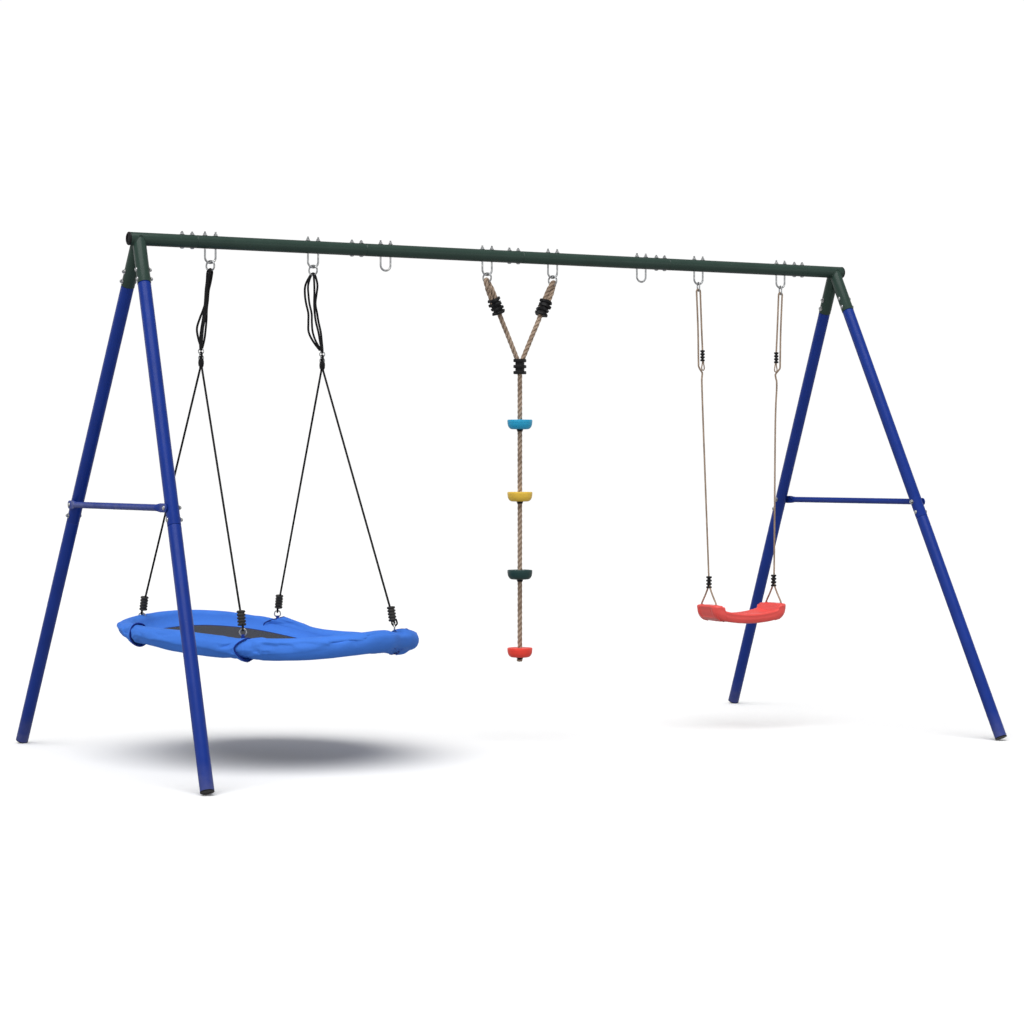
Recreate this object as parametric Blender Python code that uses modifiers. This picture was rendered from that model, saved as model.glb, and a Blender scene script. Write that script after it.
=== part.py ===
"""Garden swing set: tubular A-frame, nest swing, climbing rope and moulded seat swing.

Units are metres, +Z is up.  X runs along the beam, Y across it.  The origin is on
the ground, midway between the four feet.
"""
import math

import bmesh
import bpy
from mathutils import Matrix, Vector

# ---------------------------------------------------------------- driving dimensions
GAP = 0.0003
BEAM_Z = 1.986
APEX_X = 1.631
FOOT_X = 1.765
FOOT_Y = 0.961
BEAM_END_X = 1.668
TUBE_R = 0.025
TUBE_WALL = 0.0015
TUBE_SIDES = 16

SPIGOT_CLEARANCE = 0.0005
SPIGOT_LENGTH = 0.090
SWAGE_LENGTH = 0.004
JOINT_X = (-1.435, -0.716, 0.0, 0.716, 1.435)
SEAM_OFFSET = 0.035

SOCKET_R = 0.026
SOCKET_WALL = 0.002
SOCKET_END_Z = 1.813
SOCKET_BORE_START = 0.078
LEG_SEAM_Z = 0.914
CAP_FLANGE = 0.003
CAP_EDGE = 0.001
CAP_PLUG = 0.020

CROSSBAR_Z = 0.979
CROSSBAR_R = 0.0125
CROSSBAR_WALL = 0.0014
CROSSBAR_FLAT_HALF_WIDTH = 0.0178
CROSSBAR_FLAT_HALF_DEPTH = 0.0024

HANGER_WIRE_R = 0.004
HANGER_HALF_WIDTH = 0.022
HANGER_BOTTOM_Z = 1.907
HANGER_THREAD_TOP = 0.016
HANGER_SIDES = 8
HANGER_X = {
    "nest_left": -1.340,
    "nest_right": -0.906,
    "spare_left": -0.588,
    "climb_left": -0.125,
    "climb_right": 0.185,
    "spare_right": 0.620,
    "seat_left": 0.910,
    "seat_right": 1.340,
}

NEST_X = -1.106
NEST_Z = 0.471
NEST_HALF_X = 0.520
NEST_HALF_Y = 0.630
NEST_WAVES = ((-0.032, 0.013), (-0.019, -0.015), (-0.011, -0.008))
NEST_PAD_R = 0.0375
NEST_BAR_R = 0.011
NEST_SAG = 0.045
NEST_STEPS = 40
TIE_X = {"left": -1.426, "right": -0.820}
TIE_RING_Z = 0.523
TIE_RING_R = 0.0125
TIE_WIRE_R = 0.0025
TIE_STRAP = 0.0025
TIE_TURN = -30.0
NEST_ADJUST_X = {"left": -1.379, "right": -0.867}
NEST_TILT_Z = 1.5625
NEST_ROPE_R = 0.004
HANK_TOP_Z = 1.872
HANK_BOTTOM_Z = 1.592
HANK_HALF_WIDTH = 0.014
HANK_THICKNESS = 0.016

RING_WIRE_R = 0.0035
RING_TURN = -60.0
NEST_RING_R = 0.019
CLIMB_RING_R = 0.0165

CLIMB_X = 0.029
CLIMB_ROPE_R = 0.009
CLAMP_TOP_Z = 1.578
CLAMP_BOTTOM_Z = 1.518
SWAY_CLEARANCE = 0.0038
CLAMP_RIB = (0.026, 0.017)
CLAMP_WAIST = (0.019, 0.012)
DISC_TOP_Z = {"blue": 1.321, "yellow": 1.025, "green": 0.705, "red": 0.385}
DISC_R = 0.0515
DISC_FOOT_R = 0.030
DISC_HEIGHT = 0.0395
KNOT_R = 0.016
KNOT_HALF_HEIGHT = 0.010

LINK_WIRE_R = 0.003
LINK_HALF_WIDTH = 0.0082
LINK_HEIGHT = 0.036
SEAT_X = 1.1365
SEAT_LENGTH = 0.385
SEAT_WIDTH = 0.165
SEAT_CORNER = 0.034
SEAT_SHELL = 0.004
SEAT_PAN_Z = 0.495
SEAT_EAR_Z = 0.537
SEAT_BASE_Z = 0.4545
SEAT_HOLE_X = 0.170
SEAT_HOLE_Y = 0.054
SEAT_HOLE_R = 0.0062
SEAT_ROPE_R = 0.004
SEAT_LOOP_R = 0.0095
SEAT_TILT_Z = 0.6325
SEAT_TILT_CLEARANCE = 0.004

# ---------------------------------------------------------------- derived dimensions
TUBE_BORE_R = TUBE_R - TUBE_WALL
SPIGOT_R = TUBE_BORE_R - SPIGOT_CLEARANCE
SPIGOT_BORE_R = SPIGOT_R - TUBE_WALL
SOCKET_BORE_R = SOCKET_R - SOCKET_WALL
LEG_TOP_SPIGOT_R = SOCKET_BORE_R - SPIGOT_CLEARANCE
SEAM_X = tuple(x + SEAM_OFFSET for x in JOINT_X)
LEG_TILT = math.atan2(math.hypot(FOOT_X - APEX_X, FOOT_Y), BEAM_Z)
FOOT_Z = (TUBE_R - CAP_EDGE) * math.sin(LEG_TILT)

COLOURS = {
    "green_paint": ((0.045, 0.090, 0.070), 0.38, 0.0),
    "blue_paint": ((0.018, 0.050, 0.330), 0.38, 0.0),
    "black_plastic": ((0.012, 0.012, 0.014), 0.50, 0.0),
    "zinc_steel": ((0.560, 0.570, 0.580), 0.32, 1.0),
    "nest_fabric": ((0.050, 0.200, 0.780), 0.70, 0.0),
    "mat_fabric": ((0.065, 0.065, 0.062), 0.85, 0.0),
    "black_rope": ((0.015, 0.015, 0.016), 0.80, 0.0),
    "beige_rope": ((0.510, 0.310, 0.190), 0.85, 0.0),
    "blue_plastic": ((0.020, 0.320, 0.600), 0.45, 0.0),
    "yellow_plastic": ((0.850, 0.520, 0.030), 0.45, 0.0),
    "green_plastic": ((0.012, 0.045, 0.042), 0.45, 0.0),
    "red_plastic": ((0.830, 0.040, 0.030), 0.45, 0.0),
    "coral_plastic": ((0.850, 0.090, 0.075), 0.42, 0.0),
}


# ---------------------------------------------------------------- scene helpers
def clear_scene():
    """Remove every object that is already in the file."""
    for obj in list(bpy.data.objects):
        bpy.data.objects.remove(obj, do_unlink=True)


def make_collection(name):
    """A new collection in the scene."""
    collection = bpy.data.collections.new(name)
    bpy.context.scene.collection.children.link(collection)
    return collection


def paint(obj, slot):
    """Give an object its Principled material, one material per slot name."""
    material = bpy.data.materials.get(slot)
    if material is None:
        colour, roughness, metallic = COLOURS[slot]
        material = bpy.data.materials.new(slot)
        material.use_nodes = True
        shader = material.node_tree.nodes["Principled BSDF"]
        shader.inputs["Base Color"].default_value = (*colour, 1.0)
        shader.inputs["Roughness"].default_value = roughness
        shader.inputs["Metallic"].default_value = metallic
    obj.data.materials.clear()
    obj.data.materials.append(material)


def add_part(name, data, slot, frame=None):
    """Link an object to the swing set's collection, placed by a matrix."""
    obj = bpy.data.objects.new(name, data)
    PARTS.objects.link(obj)
    obj.matrix_world = frame if frame is not None else Matrix()
    paint(obj, slot)
    return obj


def add_cutter(name, data, frame=None):
    """Link a construction solid that is never part of the model."""
    obj = bpy.data.objects.new(name, data)
    CUTTERS.objects.link(obj)
    obj.matrix_world = frame if frame is not None else Matrix()
    obj.hide_render = True
    obj.display_type = "WIRE"
    return obj


def along(start, direction):
    """A frame at start whose +Z runs along direction."""
    turn = Vector(direction).to_track_quat("Z", "Y")
    return Matrix.Translation(start) @ turn.to_matrix().to_4x4()


def combine(obj, tool, operation):
    """Add an exact Boolean modifier."""
    modifier = obj.modifiers.new(operation.lower(), "BOOLEAN")
    modifier.operation = operation
    modifier.solver = "EXACT"
    modifier.object = tool


def smooth(mesh):
    """Smooth shading with sharp edges kept."""
    mesh.shade_smooth()
    mesh.set_sharp_from_angle(angle=math.radians(35.0))


def pivot(name, position, parts):
    """Parent moving parts to an empty on their joint's axis."""
    empty = bpy.data.objects.new(name, None)
    PARTS.objects.link(empty)
    empty.location = position
    bpy.context.view_layer.update()
    for part in parts:
        part.parent = empty
        part.matrix_parent_inverse = empty.matrix_world.inverted()
    return empty


# ---------------------------------------------------------------- shape helpers
def turned(outline, closed, steps):
    """Mesh of a profile in the XZ plane, with the number of turns to sweep it in."""
    mesh = bpy.data.meshes.new("profile")
    count = len(outline)
    edges = [(index, index + 1) for index in range(count - 1)]
    if closed:
        edges.append((count - 1, 0))
    mesh.from_pydata([(radius, 0.0, height) for radius, height in outline], edges, [])
    return mesh, steps


def add_turned(name, profile, slot, frame):
    """A part swept from a profile by a Screw modifier."""
    mesh, steps = profile
    obj = add_part(name, mesh, slot, frame)
    sweep = obj.modifiers.new("sweep", "SCREW")
    sweep.axis = "Z"
    sweep.steps = steps
    sweep.render_steps = steps
    sweep.use_merge_vertices = True
    sweep.merge_threshold = 0.00001
    sweep.use_smooth_shade = True
    return obj


def pipe_outline(outer, bore):
    """Closed profile of a hollow tube from (height, radius) stations, low to high."""
    down_outside = [(radius, height) for height, radius in reversed(outer)]
    up_inside = [(radius, height) for height, radius in bore]
    return down_outside + up_inside


def cylinder_mesh(length, radius, sides):
    """A closed cylinder that stands on the local XY plane."""
    mesh = bpy.data.meshes.new("cylinder")
    work = bmesh.new()
    bmesh.ops.create_cone(work, cap_ends=True, segments=sides, radius1=radius,
                          radius2=radius, depth=length,
                          matrix=Matrix.Translation((0.0, 0.0, length / 2)))
    work.to_mesh(mesh)
    work.free()
    return mesh


def add_rod(name, start, end, radius, sides=TUBE_SIDES):
    """A construction cylinder between two points."""
    start = Vector(start)
    span = Vector(end) - start
    return add_cutter(name, cylinder_mesh(span.length, radius, sides), along(start, span))


def ring_mesh(radius, wire, steps=14, sides=6):
    """A closed wire ring standing in the local XZ plane."""
    bpy.ops.mesh.primitive_torus_add(major_segments=steps, minor_segments=sides,
                                     major_radius=radius, minor_radius=wire,
                                     rotation=(math.pi / 2, 0.0, 0.0))
    primitive = bpy.context.object
    mesh = primitive.data
    mesh.transform(primitive.matrix_world)
    bpy.data.objects.remove(primitive)
    smooth(mesh)
    return mesh


def upright(position, turn_degrees):
    """A frame at position, turned about the vertical."""
    return Matrix.Translation(position) @ Matrix.Rotation(math.radians(turn_degrees), 4, "Z")


def smooth_route(points, spacing):
    """Points about a spacing apart on a Catmull-Rom curve through the route's points."""
    knots = [Vector(point) for point in points]
    ends = [2 * knots[0] - knots[1]] + knots + [2 * knots[-1] - knots[-2]]
    route = []
    for index in range(1, len(ends) - 2):
        before, start, end, after = ends[index - 1:index + 3]
        count = max(1, round((end - start).length / spacing))
        for step in range(count):
            t = step / count
            route.append(0.5 * (2 * start + (end - before) * t
                                + (2 * before - 5 * start + 4 * end - after) * t ** 2
                                + (3 * start - before - 3 * end + after) * t ** 3))
    route.append(knots[-1])
    return route


def tube_curve(points, radius, closed=False, resolution=2):
    """A round tube along points, with filled caps when it is open."""
    curve = bpy.data.curves.new("tube", "CURVE")
    curve.dimensions = "3D"
    curve.bevel_depth = radius
    curve.bevel_resolution = resolution
    curve.use_fill_caps = not closed
    spline = curve.splines.new("POLY")
    spline.points.add(len(points) - 1)
    for target, point in zip(spline.points, points):
        target.co = (*point, 1.0)
    spline.use_cyclic_u = closed
    spline.use_smooth = True
    return curve


def curve_as_mesh(curve):
    """The welded mesh of a curve, for Boolean work."""
    source = bpy.data.objects.new("source", curve)
    PARTS.objects.link(source)
    bpy.context.view_layer.update()
    evaluated = source.evaluated_get(bpy.context.evaluated_depsgraph_get())
    mesh = bpy.data.meshes.new_from_object(evaluated)
    bpy.data.objects.remove(source)
    work = bmesh.new()
    work.from_mesh(mesh)
    bmesh.ops.remove_doubles(work, verts=work.verts, dist=0.00001)
    work.to_mesh(mesh)
    work.free()
    return mesh


def loft_mesh(rings, closed_loop):
    """Skin a row of equal rings; a closed loop of rings makes a hollow tube."""
    mesh = bpy.data.meshes.new("loft")
    work = bmesh.new()
    rows = [[work.verts.new(point) for point in ring] for ring in rings]
    sides = len(rows[0])
    pairs = list(zip(rows, rows[1:]))
    if closed_loop:
        pairs.append((rows[-1], rows[0]))
    for low, high in pairs:
        for index in range(sides):
            after = (index + 1) % sides
            work.faces.new((low[index], low[after], high[after], high[index]))
    if not closed_loop:
        work.faces.new(rows[0])
        work.faces.new(rows[-1])
    bmesh.ops.recalc_face_normals(work, faces=work.faces)
    work.to_mesh(mesh)
    work.free()
    smooth(mesh)
    return mesh


# ---------------------------------------------------------------- A-frame
def leg_axis(side_x, side_y):
    """Apex, foot centre and unit vector up the leg."""
    apex = Vector((side_x * APEX_X, 0.0, BEAM_Z))
    foot = Vector((side_x * FOOT_X, side_y * FOOT_Y, FOOT_Z))
    return apex, foot, (apex - foot).normalized()


def point_at_height(foot, up, height):
    """Point of a leg's axis at a height."""
    return foot + up * ((height - foot.z) / up.z)


def make_leg(label, side_x, side_y):
    """Lower leg, upper leg and foot cap of one corner."""
    apex, foot, up = leg_axis(side_x, side_y)
    lower_start = foot + up * (CAP_FLANGE + GAP)
    seam = point_at_height(foot, up, LEG_SEAM_Z)
    socket = point_at_height(foot, up, SOCKET_END_Z)

    lower = (seam - lower_start).length
    outer = [(0.0, TUBE_R), (lower - SWAGE_LENGTH, TUBE_R), (lower, SPIGOT_R),
             (lower + SPIGOT_LENGTH, SPIGOT_R)]
    bore = [(0.0, TUBE_BORE_R), (lower - SWAGE_LENGTH, TUBE_BORE_R),
            (lower, SPIGOT_BORE_R), (lower + SPIGOT_LENGTH, SPIGOT_BORE_R)]
    profile = turned(pipe_outline(outer, bore), True, TUBE_SIDES)
    add_turned(f"lower_leg_{label}", profile, "blue_paint", along(lower_start, up))

    upper_start = seam + up * GAP
    upper = (socket - upper_start).length - GAP
    spigot_bore = LEG_TOP_SPIGOT_R - TUBE_WALL
    outer = [(0.0, TUBE_R), (upper - SWAGE_LENGTH, TUBE_R), (upper, LEG_TOP_SPIGOT_R),
             (upper + SPIGOT_LENGTH, LEG_TOP_SPIGOT_R)]
    bore = [(0.0, TUBE_BORE_R), (upper - SWAGE_LENGTH, TUBE_BORE_R),
            (upper, spigot_bore), (upper + SPIGOT_LENGTH, spigot_bore)]
    profile = turned(pipe_outline(outer, bore), True, TUBE_SIDES)
    add_turned(f"upper_leg_{label}", profile, "blue_paint", along(upper_start, up))

    outline = [(0.0, 0.0), (TUBE_R - CAP_EDGE, 0.0), (TUBE_R, -CAP_EDGE),
               (TUBE_R, -CAP_FLANGE), (SPIGOT_R, -CAP_FLANGE), (SPIGOT_R, -CAP_PLUG),
               (0.0, -CAP_PLUG)]
    profile = turned(outline, False, TUBE_SIDES)
    add_turned(f"foot_cap_{label}", profile, "black_plastic", along(foot, -up))


def make_end_connector(label, side_x):
    """Welded end fitting: a beam stub with two leg sockets below it."""
    if side_x < 0:
        inner_x = SEAM_X[0] - GAP
    else:
        inner_x = SEAM_X[-1]
    low_x, high_x = sorted((side_x * BEAM_END_X, inner_x))
    stub = cylinder_mesh(high_x - low_x, TUBE_R, TUBE_SIDES)
    frame = along((low_x, 0.0, BEAM_Z), (1.0, 0.0, 0.0))
    connector = add_part(f"end_connector_{label}", stub, "green_paint", frame)
    overrun = 0.01
    if side_x > 0:
        spigot = add_rod("spigot", (low_x - SPIGOT_LENGTH, 0.0, BEAM_Z),
                         (low_x + overrun, 0.0, BEAM_Z), SPIGOT_R)
        combine(connector, spigot, "UNION")
    sockets = []
    for side_y in (-1, 1):
        apex, foot, up = leg_axis(side_x, side_y)
        end = point_at_height(foot, up, SOCKET_END_Z)
        combine(connector, add_rod("socket", apex, end, SOCKET_R), "UNION")
        sockets.append((apex, end, up))
    bore_start = low_x - overrun if side_x < 0 else low_x + SWAGE_LENGTH
    bore_end = high_x + overrun
    bore = add_rod("beam_bore", (bore_start, 0.0, BEAM_Z), (bore_end, 0.0, BEAM_Z), TUBE_BORE_R)
    combine(connector, bore, "DIFFERENCE")
    if side_x > 0:
        bore = add_rod("spigot_bore", (low_x - SPIGOT_LENGTH - overrun, 0.0, BEAM_Z),
                       (low_x + overrun, 0.0, BEAM_Z), SPIGOT_BORE_R)
        combine(connector, bore, "DIFFERENCE")
    for apex, end, up in sockets:
        bore = add_rod("socket_bore", apex - up * SOCKET_BORE_START, end - up * overrun,
                       SOCKET_BORE_R)
        combine(connector, bore, "DIFFERENCE")


def make_beam_tube(index):
    """One beam section: a swaged left end, and holes for its two hangers."""
    start = SEAM_X[index]
    length = SEAM_X[index + 1] - GAP - start
    outer = [(-SPIGOT_LENGTH, SPIGOT_R), (0.0, SPIGOT_R), (SWAGE_LENGTH, TUBE_R),
             (length, TUBE_R)]
    bore = [(-SPIGOT_LENGTH, SPIGOT_BORE_R), (0.0, SPIGOT_BORE_R),
            (SWAGE_LENGTH, TUBE_BORE_R), (length, TUBE_BORE_R)]
    profile = turned(pipe_outline(outer, bore), True, TUBE_SIDES)
    frame = along((start, 0.0, BEAM_Z), (1.0, 0.0, 0.0))
    tube = add_turned(f"beam_tube_{index + 1}", profile, "green_paint", frame)
    for hanger_x in HANGER_X.values():
        if start < hanger_x < start + length:
            for offset in (-HANGER_HALF_WIDTH, HANGER_HALF_WIDTH):
                x = hanger_x + offset
                drill = add_rod("hanger_drill", (x, 0.0, BEAM_Z - 2 * TUBE_R),
                                (x, 0.0, BEAM_Z + 2 * TUBE_R),
                                HANGER_WIRE_R + 2 * GAP, HANGER_SIDES)
                combine(tube, drill, "DIFFERENCE")


def make_beam_cap(label, side_x):
    """Domed plastic plug in the beam's open end."""
    lip = TUBE_R + 0.0005
    outline = [(0.0, 0.009), (0.012, 0.0078), (0.020, 0.0052), (lip, 0.0015), (lip, GAP),
               (SPIGOT_R, GAP), (SPIGOT_R, -0.016), (0.0, -0.016)]
    profile = turned(outline, False, TUBE_SIDES)
    frame = along((side_x * BEAM_END_X, 0.0, BEAM_Z), (side_x, 0.0, 0.0))
    add_turned(f"beam_cap_{label}", profile, "black_plastic", frame)


def squashed_ring(y, x, half_depth, half_width, sides=12):
    """Cross-section of the crossbar in the XZ plane at a station along Y."""
    ring = []
    for index in range(sides):
        angle = 2 * math.pi * index / sides
        ring.append((x + half_depth * math.cos(angle), y,
                     CROSSBAR_Z + half_width * math.sin(angle)))
    return ring


def make_crossbar(label, side_x):
    """Tie tube with pressed flat ends that lie on the outside of both legs."""
    apex, foot, up = leg_axis(side_x, 1)
    leg = point_at_height(foot, up, CROSSBAR_Z)
    low = point_at_height(foot, up, CROSSBAR_Z - CROSSBAR_FLAT_HALF_WIDTH)
    x = side_x * (abs(low.x) + TUBE_R + CROSSBAR_FLAT_HALF_DEPTH + 3 * GAP)
    stations = ((leg.y + 0.032, 1.0), (leg.y - 0.042, 1.0), (leg.y - 0.072, 0.0))
    half = [(y, flat) for y, flat in stations]
    whole = [(-y, flat) for y, flat in half] + [(y, flat) for y, flat in reversed(half)]
    outer = []
    inner = []
    for y, flat in whole:
        depth = CROSSBAR_R + flat * (CROSSBAR_FLAT_HALF_DEPTH - CROSSBAR_R)
        width = CROSSBAR_R + flat * (CROSSBAR_FLAT_HALF_WIDTH - CROSSBAR_R)
        outer.append(squashed_ring(y, x, depth, width))
        inner.append(squashed_ring(y, x, depth - CROSSBAR_WALL, width - CROSSBAR_WALL))
    add_part(f"crossbar_{label}", loft_mesh(outer + inner[::-1], True), "blue_paint")


def make_hanger(label, x):
    """U-bolt through the beam with a washer and nut on each leg."""
    arc_z = HANGER_BOTTOM_Z + HANGER_HALF_WIDTH
    beam_top = BEAM_Z + TUBE_R
    top = beam_top + HANGER_THREAD_TOP
    steps = 8
    points = [(x - HANGER_HALF_WIDTH, 0.0, top)]
    for step in range(steps + 1):
        angle = math.pi * (1 + step / steps)
        points.append((x + HANGER_HALF_WIDTH * math.cos(angle), 0.0,
                       arc_z + HANGER_HALF_WIDTH * math.sin(angle)))
    points.append((x + HANGER_HALF_WIDTH, 0.0, top))
    bolt = add_part(f"hanger_{label}", curve_as_mesh(tube_curve(points, HANGER_WIRE_R)),
                    "zinc_steel")
    smooth(bolt.data)
    washer_top = beam_top + GAP + 0.0015
    for offset in (-HANGER_HALF_WIDTH, HANGER_HALF_WIDTH):
        washer = add_rod("washer", (x + offset, 0.0, beam_top + GAP),
                         (x + offset, 0.0, washer_top), 0.010, 12)
        combine(bolt, washer, "UNION")
        nut = add_rod("nut", (x + offset, 0.0, washer_top - 0.0002),
                      (x + offset, 0.0, washer_top + 0.0065), 0.0075, 6)
        combine(bolt, nut, "UNION")


# ---------------------------------------------------------------- nest swing
def nest_rim(angle):
    """Centre line of the nest's padded rim, with its outward normal in plan."""
    x = NEST_X + NEST_HALF_X * math.cos(angle)
    y = NEST_HALF_Y * math.sin(angle)
    z = NEST_Z
    for order, (cosine, sine) in enumerate(NEST_WAVES, start=1):
        z += cosine * math.cos(order * angle) + sine * math.sin(order * angle)
    normal = Vector((math.cos(angle) / NEST_HALF_X, math.sin(angle) / NEST_HALF_Y, 0.0))
    return Vector((x, y, z)), normal.normalized()


def rim_circuit():
    """The rim's centre line as a closed row of points."""
    return [nest_rim(2 * math.pi * step / NEST_STEPS)[0] for step in range(NEST_STEPS)]


def tie_angle(side, side_y):
    """Angle of a tie point on the rim."""
    return side_y * math.acos((TIE_X[side] - NEST_X) / NEST_HALF_X)


def tie_ring_centre(side, side_y):
    """A tie ring stands over the rim, never closer than its strap allows."""
    rim = nest_rim(tie_angle(side, side_y))[0]
    lowest = rim.z + NEST_BAR_R + TIE_STRAP + TIE_RING_R
    return Vector((rim.x, rim.y, max(TIE_RING_Z, lowest)))


def make_nest_rim():
    """Steel hoop and the padded cover around it, open at the four tie windows."""
    circuit = rim_circuit()
    hoop = add_part("nest_hoop", tube_curve(circuit, NEST_BAR_R, closed=True), "zinc_steel")
    cover_mesh = curve_as_mesh(tube_curve(circuit, NEST_PAD_R, closed=True, resolution=3))
    cover = add_part("nest_cover", cover_mesh, "nest_fabric")
    cavity_curve = tube_curve(circuit, NEST_BAR_R + 0.0008, closed=True)
    combine(cover, add_cutter("hoop_cavity", curve_as_mesh(cavity_curve)), "DIFFERENCE")
    for side in TIE_X:
        for side_y in (-1, 1):
            angle = tie_angle(side, side_y)
            rim, normal = nest_rim(angle)
            turn = math.atan2(normal.y, normal.x)
            mesh = bpy.data.meshes.new("window")
            work = bmesh.new()
            bmesh.ops.create_cube(work, size=1.0)
            bmesh.ops.scale(work, vec=(0.036, 0.044, 2 * NEST_PAD_R), verts=work.verts)
            bmesh.ops.translate(work, vec=(0.0, 0.0, NEST_PAD_R + 0.001), verts=work.verts)
            work.to_mesh(mesh)
            work.free()
            window = add_cutter("tie_window", mesh, upright(rim, math.degrees(turn)))
            combine(cover, window, "DIFFERENCE")
    return [hoop, cover]


def make_nest_mat():
    """Sagging mat across the rim: a polar grid with thickness."""
    around = 24
    across = 3
    thickness = 0.003
    mesh = bpy.data.meshes.new("mat")
    work = bmesh.new()
    bmesh.ops.create_grid(work, x_segments=around, y_segments=across, size=0.5)
    middle = Vector((NEST_X, 0.0, NEST_Z - NEST_SAG))
    for vertex in work.verts:
        angle = (vertex.co.x + 0.5) * 2 * math.pi
        reach = vertex.co.y + 0.5
        rim, normal = nest_rim(angle)
        edge = rim - normal * (NEST_PAD_R + 0.003)
        edge.z -= 0.004
        vertex.co.x = middle.x + reach * (edge.x - middle.x)
        vertex.co.y = middle.y + reach * (edge.y - middle.y)
        vertex.co.z = middle.z + reach ** 2 * (edge.z - middle.z)
    bmesh.ops.remove_doubles(work, verts=work.verts, dist=0.0001)
    loose = [face for face in work.faces if face.calc_area() < 1e-9]
    bmesh.ops.delete(work, geom=loose, context="FACES")
    bmesh.ops.recalc_face_normals(work, faces=work.faces)
    work.to_mesh(mesh)
    work.free()
    smooth(mesh)
    mat = add_part("nest_mat", mesh, "mat_fabric")
    shell = mat.modifiers.new("thickness", "SOLIDIFY")
    shell.thickness = thickness
    shell.offset = 0.0
    return mat


def make_nest_rope(side):
    """One rope: back tie ring, up through the adjuster, down to the front tie ring."""
    x = NEST_ADJUST_X[side]
    clear = TIE_RING_R + TIE_WIRE_R + 0.0025
    back = tie_ring_centre(side, 1) + Vector((0.0, 0.0, clear))
    front = tie_ring_centre(side, -1) + Vector((0.0, 0.0, clear))
    loop = 0.0065
    route = smooth_route([back, back.lerp(Vector((x, 0.012, 1.500)), 0.5), (x, 0.012, 1.500)],
                         0.12)
    route += [Vector((x, loop, 1.530)), Vector((x, loop, NEST_TILT_Z - 0.004))]
    for step in range(1, 6):
        angle = math.pi * step / 6
        route.append(Vector((x, loop * math.cos(angle),
                             NEST_TILT_Z - 0.004 + loop * math.sin(angle))))
    route += [Vector((x, -loop, NEST_TILT_Z - 0.004)), Vector((x, -loop, 1.530))]
    route += smooth_route([(x, -0.012, 1.500), front.lerp(Vector((x, -0.012, 1.500)), 0.5),
                           front], 0.12)
    return add_part(f"nest_rope_{side}", tube_curve(route, NEST_ROPE_R), "black_rope")


def make_adjuster_hank(side):
    """Outer shape of the gathered adjusting rope between top ring and V rope."""
    top = Vector((HANGER_X[f"nest_{side}"], 0.0, HANK_TOP_Z))
    bottom = Vector((NEST_ADJUST_X[side], 0.0, HANK_BOTTOM_Z))
    run = (top - bottom).length / 2 - HANK_HALF_WIDTH
    curve = bpy.data.curves.new("hank", "CURVE")
    curve.dimensions = "2D"
    curve.fill_mode = "BOTH"
    curve.extrude = HANK_THICKNESS / 2
    points = []
    for end, start_angle in ((1, 0.0), (-1, math.pi)):
        for step in range(6):
            angle = start_angle + math.pi * step / 5
            points.append((HANK_HALF_WIDTH * math.cos(angle),
                           end * run + HANK_HALF_WIDTH * math.sin(angle)))
    spline = curve.splines.new("POLY")
    spline.points.add(len(points) - 1)
    for target, (width, length) in zip(spline.points, points):
        target.co = (width, length, 0.0, 1.0)
    spline.use_cyclic_u = True
    long_axis = (top - bottom).normalized()
    wide_axis = Vector((math.cos(math.radians(30.0)), -math.sin(math.radians(30.0)), 0.0))
    deep_axis = wide_axis.cross(long_axis).normalized()
    wide_axis = long_axis.cross(deep_axis)
    frame = Matrix((wide_axis, long_axis, deep_axis)).transposed().to_4x4()
    frame.translation = (top + bottom) / 2
    return add_part(f"nest_adjuster_{side}", curve, "black_rope", frame)


def make_hanging_ring(name, hanger, radius):
    """Wire ring hooked under a hanger."""
    centre_z = HANGER_BOTTOM_Z + HANGER_WIRE_R + RING_WIRE_R + GAP - radius
    frame = upright((HANGER_X[hanger], 0.0, centre_z), RING_TURN)
    return add_part(name, ring_mesh(radius, RING_WIRE_R), "zinc_steel", frame)


def make_nest_swing():
    """Everything of the nest swing, on its two pivots."""
    hanging = []
    seat = make_nest_rim() + [make_nest_mat()]
    for side in TIE_X:
        hanging.append(make_hanging_ring(f"nest_ring_{side}", f"nest_{side}", NEST_RING_R))
        hanging.append(make_adjuster_hank(side))
        seat.append(make_nest_rope(side))
        for side_y, end in ((-1, "front"), (1, "back")):
            frame = upright(tie_ring_centre(side, side_y), TIE_TURN)
            seat.append(add_part(f"tie_ring_{side}_{end}", ring_mesh(TIE_RING_R, TIE_WIRE_R, 12),
                                 "zinc_steel", frame))
    middle = (HANGER_X["nest_left"] + HANGER_X["nest_right"]) / 2
    swing = pivot("nest_swing_axis", (middle, 0.0, HANGER_BOTTOM_Z), hanging)
    tilt = pivot("nest_tilt_axis", (middle, 0.0, NEST_TILT_Z), seat)
    tilt.parent = swing
    tilt.matrix_parent_inverse = swing.matrix_world.inverted()


# ---------------------------------------------------------------- climbing rope
def make_climb_arm(side, side_x):
    """One arm of the inverted Y, from its ring to the clamp."""
    hanger_x = HANGER_X[f"climb_{side}"]
    ring_bottom = (HANGER_BOTTOM_Z + HANGER_WIRE_R + GAP - 2 * CLIMB_RING_R)
    top = Vector((hanger_x, 0.0, ring_bottom - RING_WIRE_R - 0.0015))
    bottom = Vector((CLIMB_X + side_x * 0.0118, 0.0, CLAMP_TOP_Z + 0.0052))
    return add_part(f"climb_arm_{side}", tube_curve(smooth_route([top, bottom], 0.08),
                                                    CLIMB_ROPE_R), "beige_rope")


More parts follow.
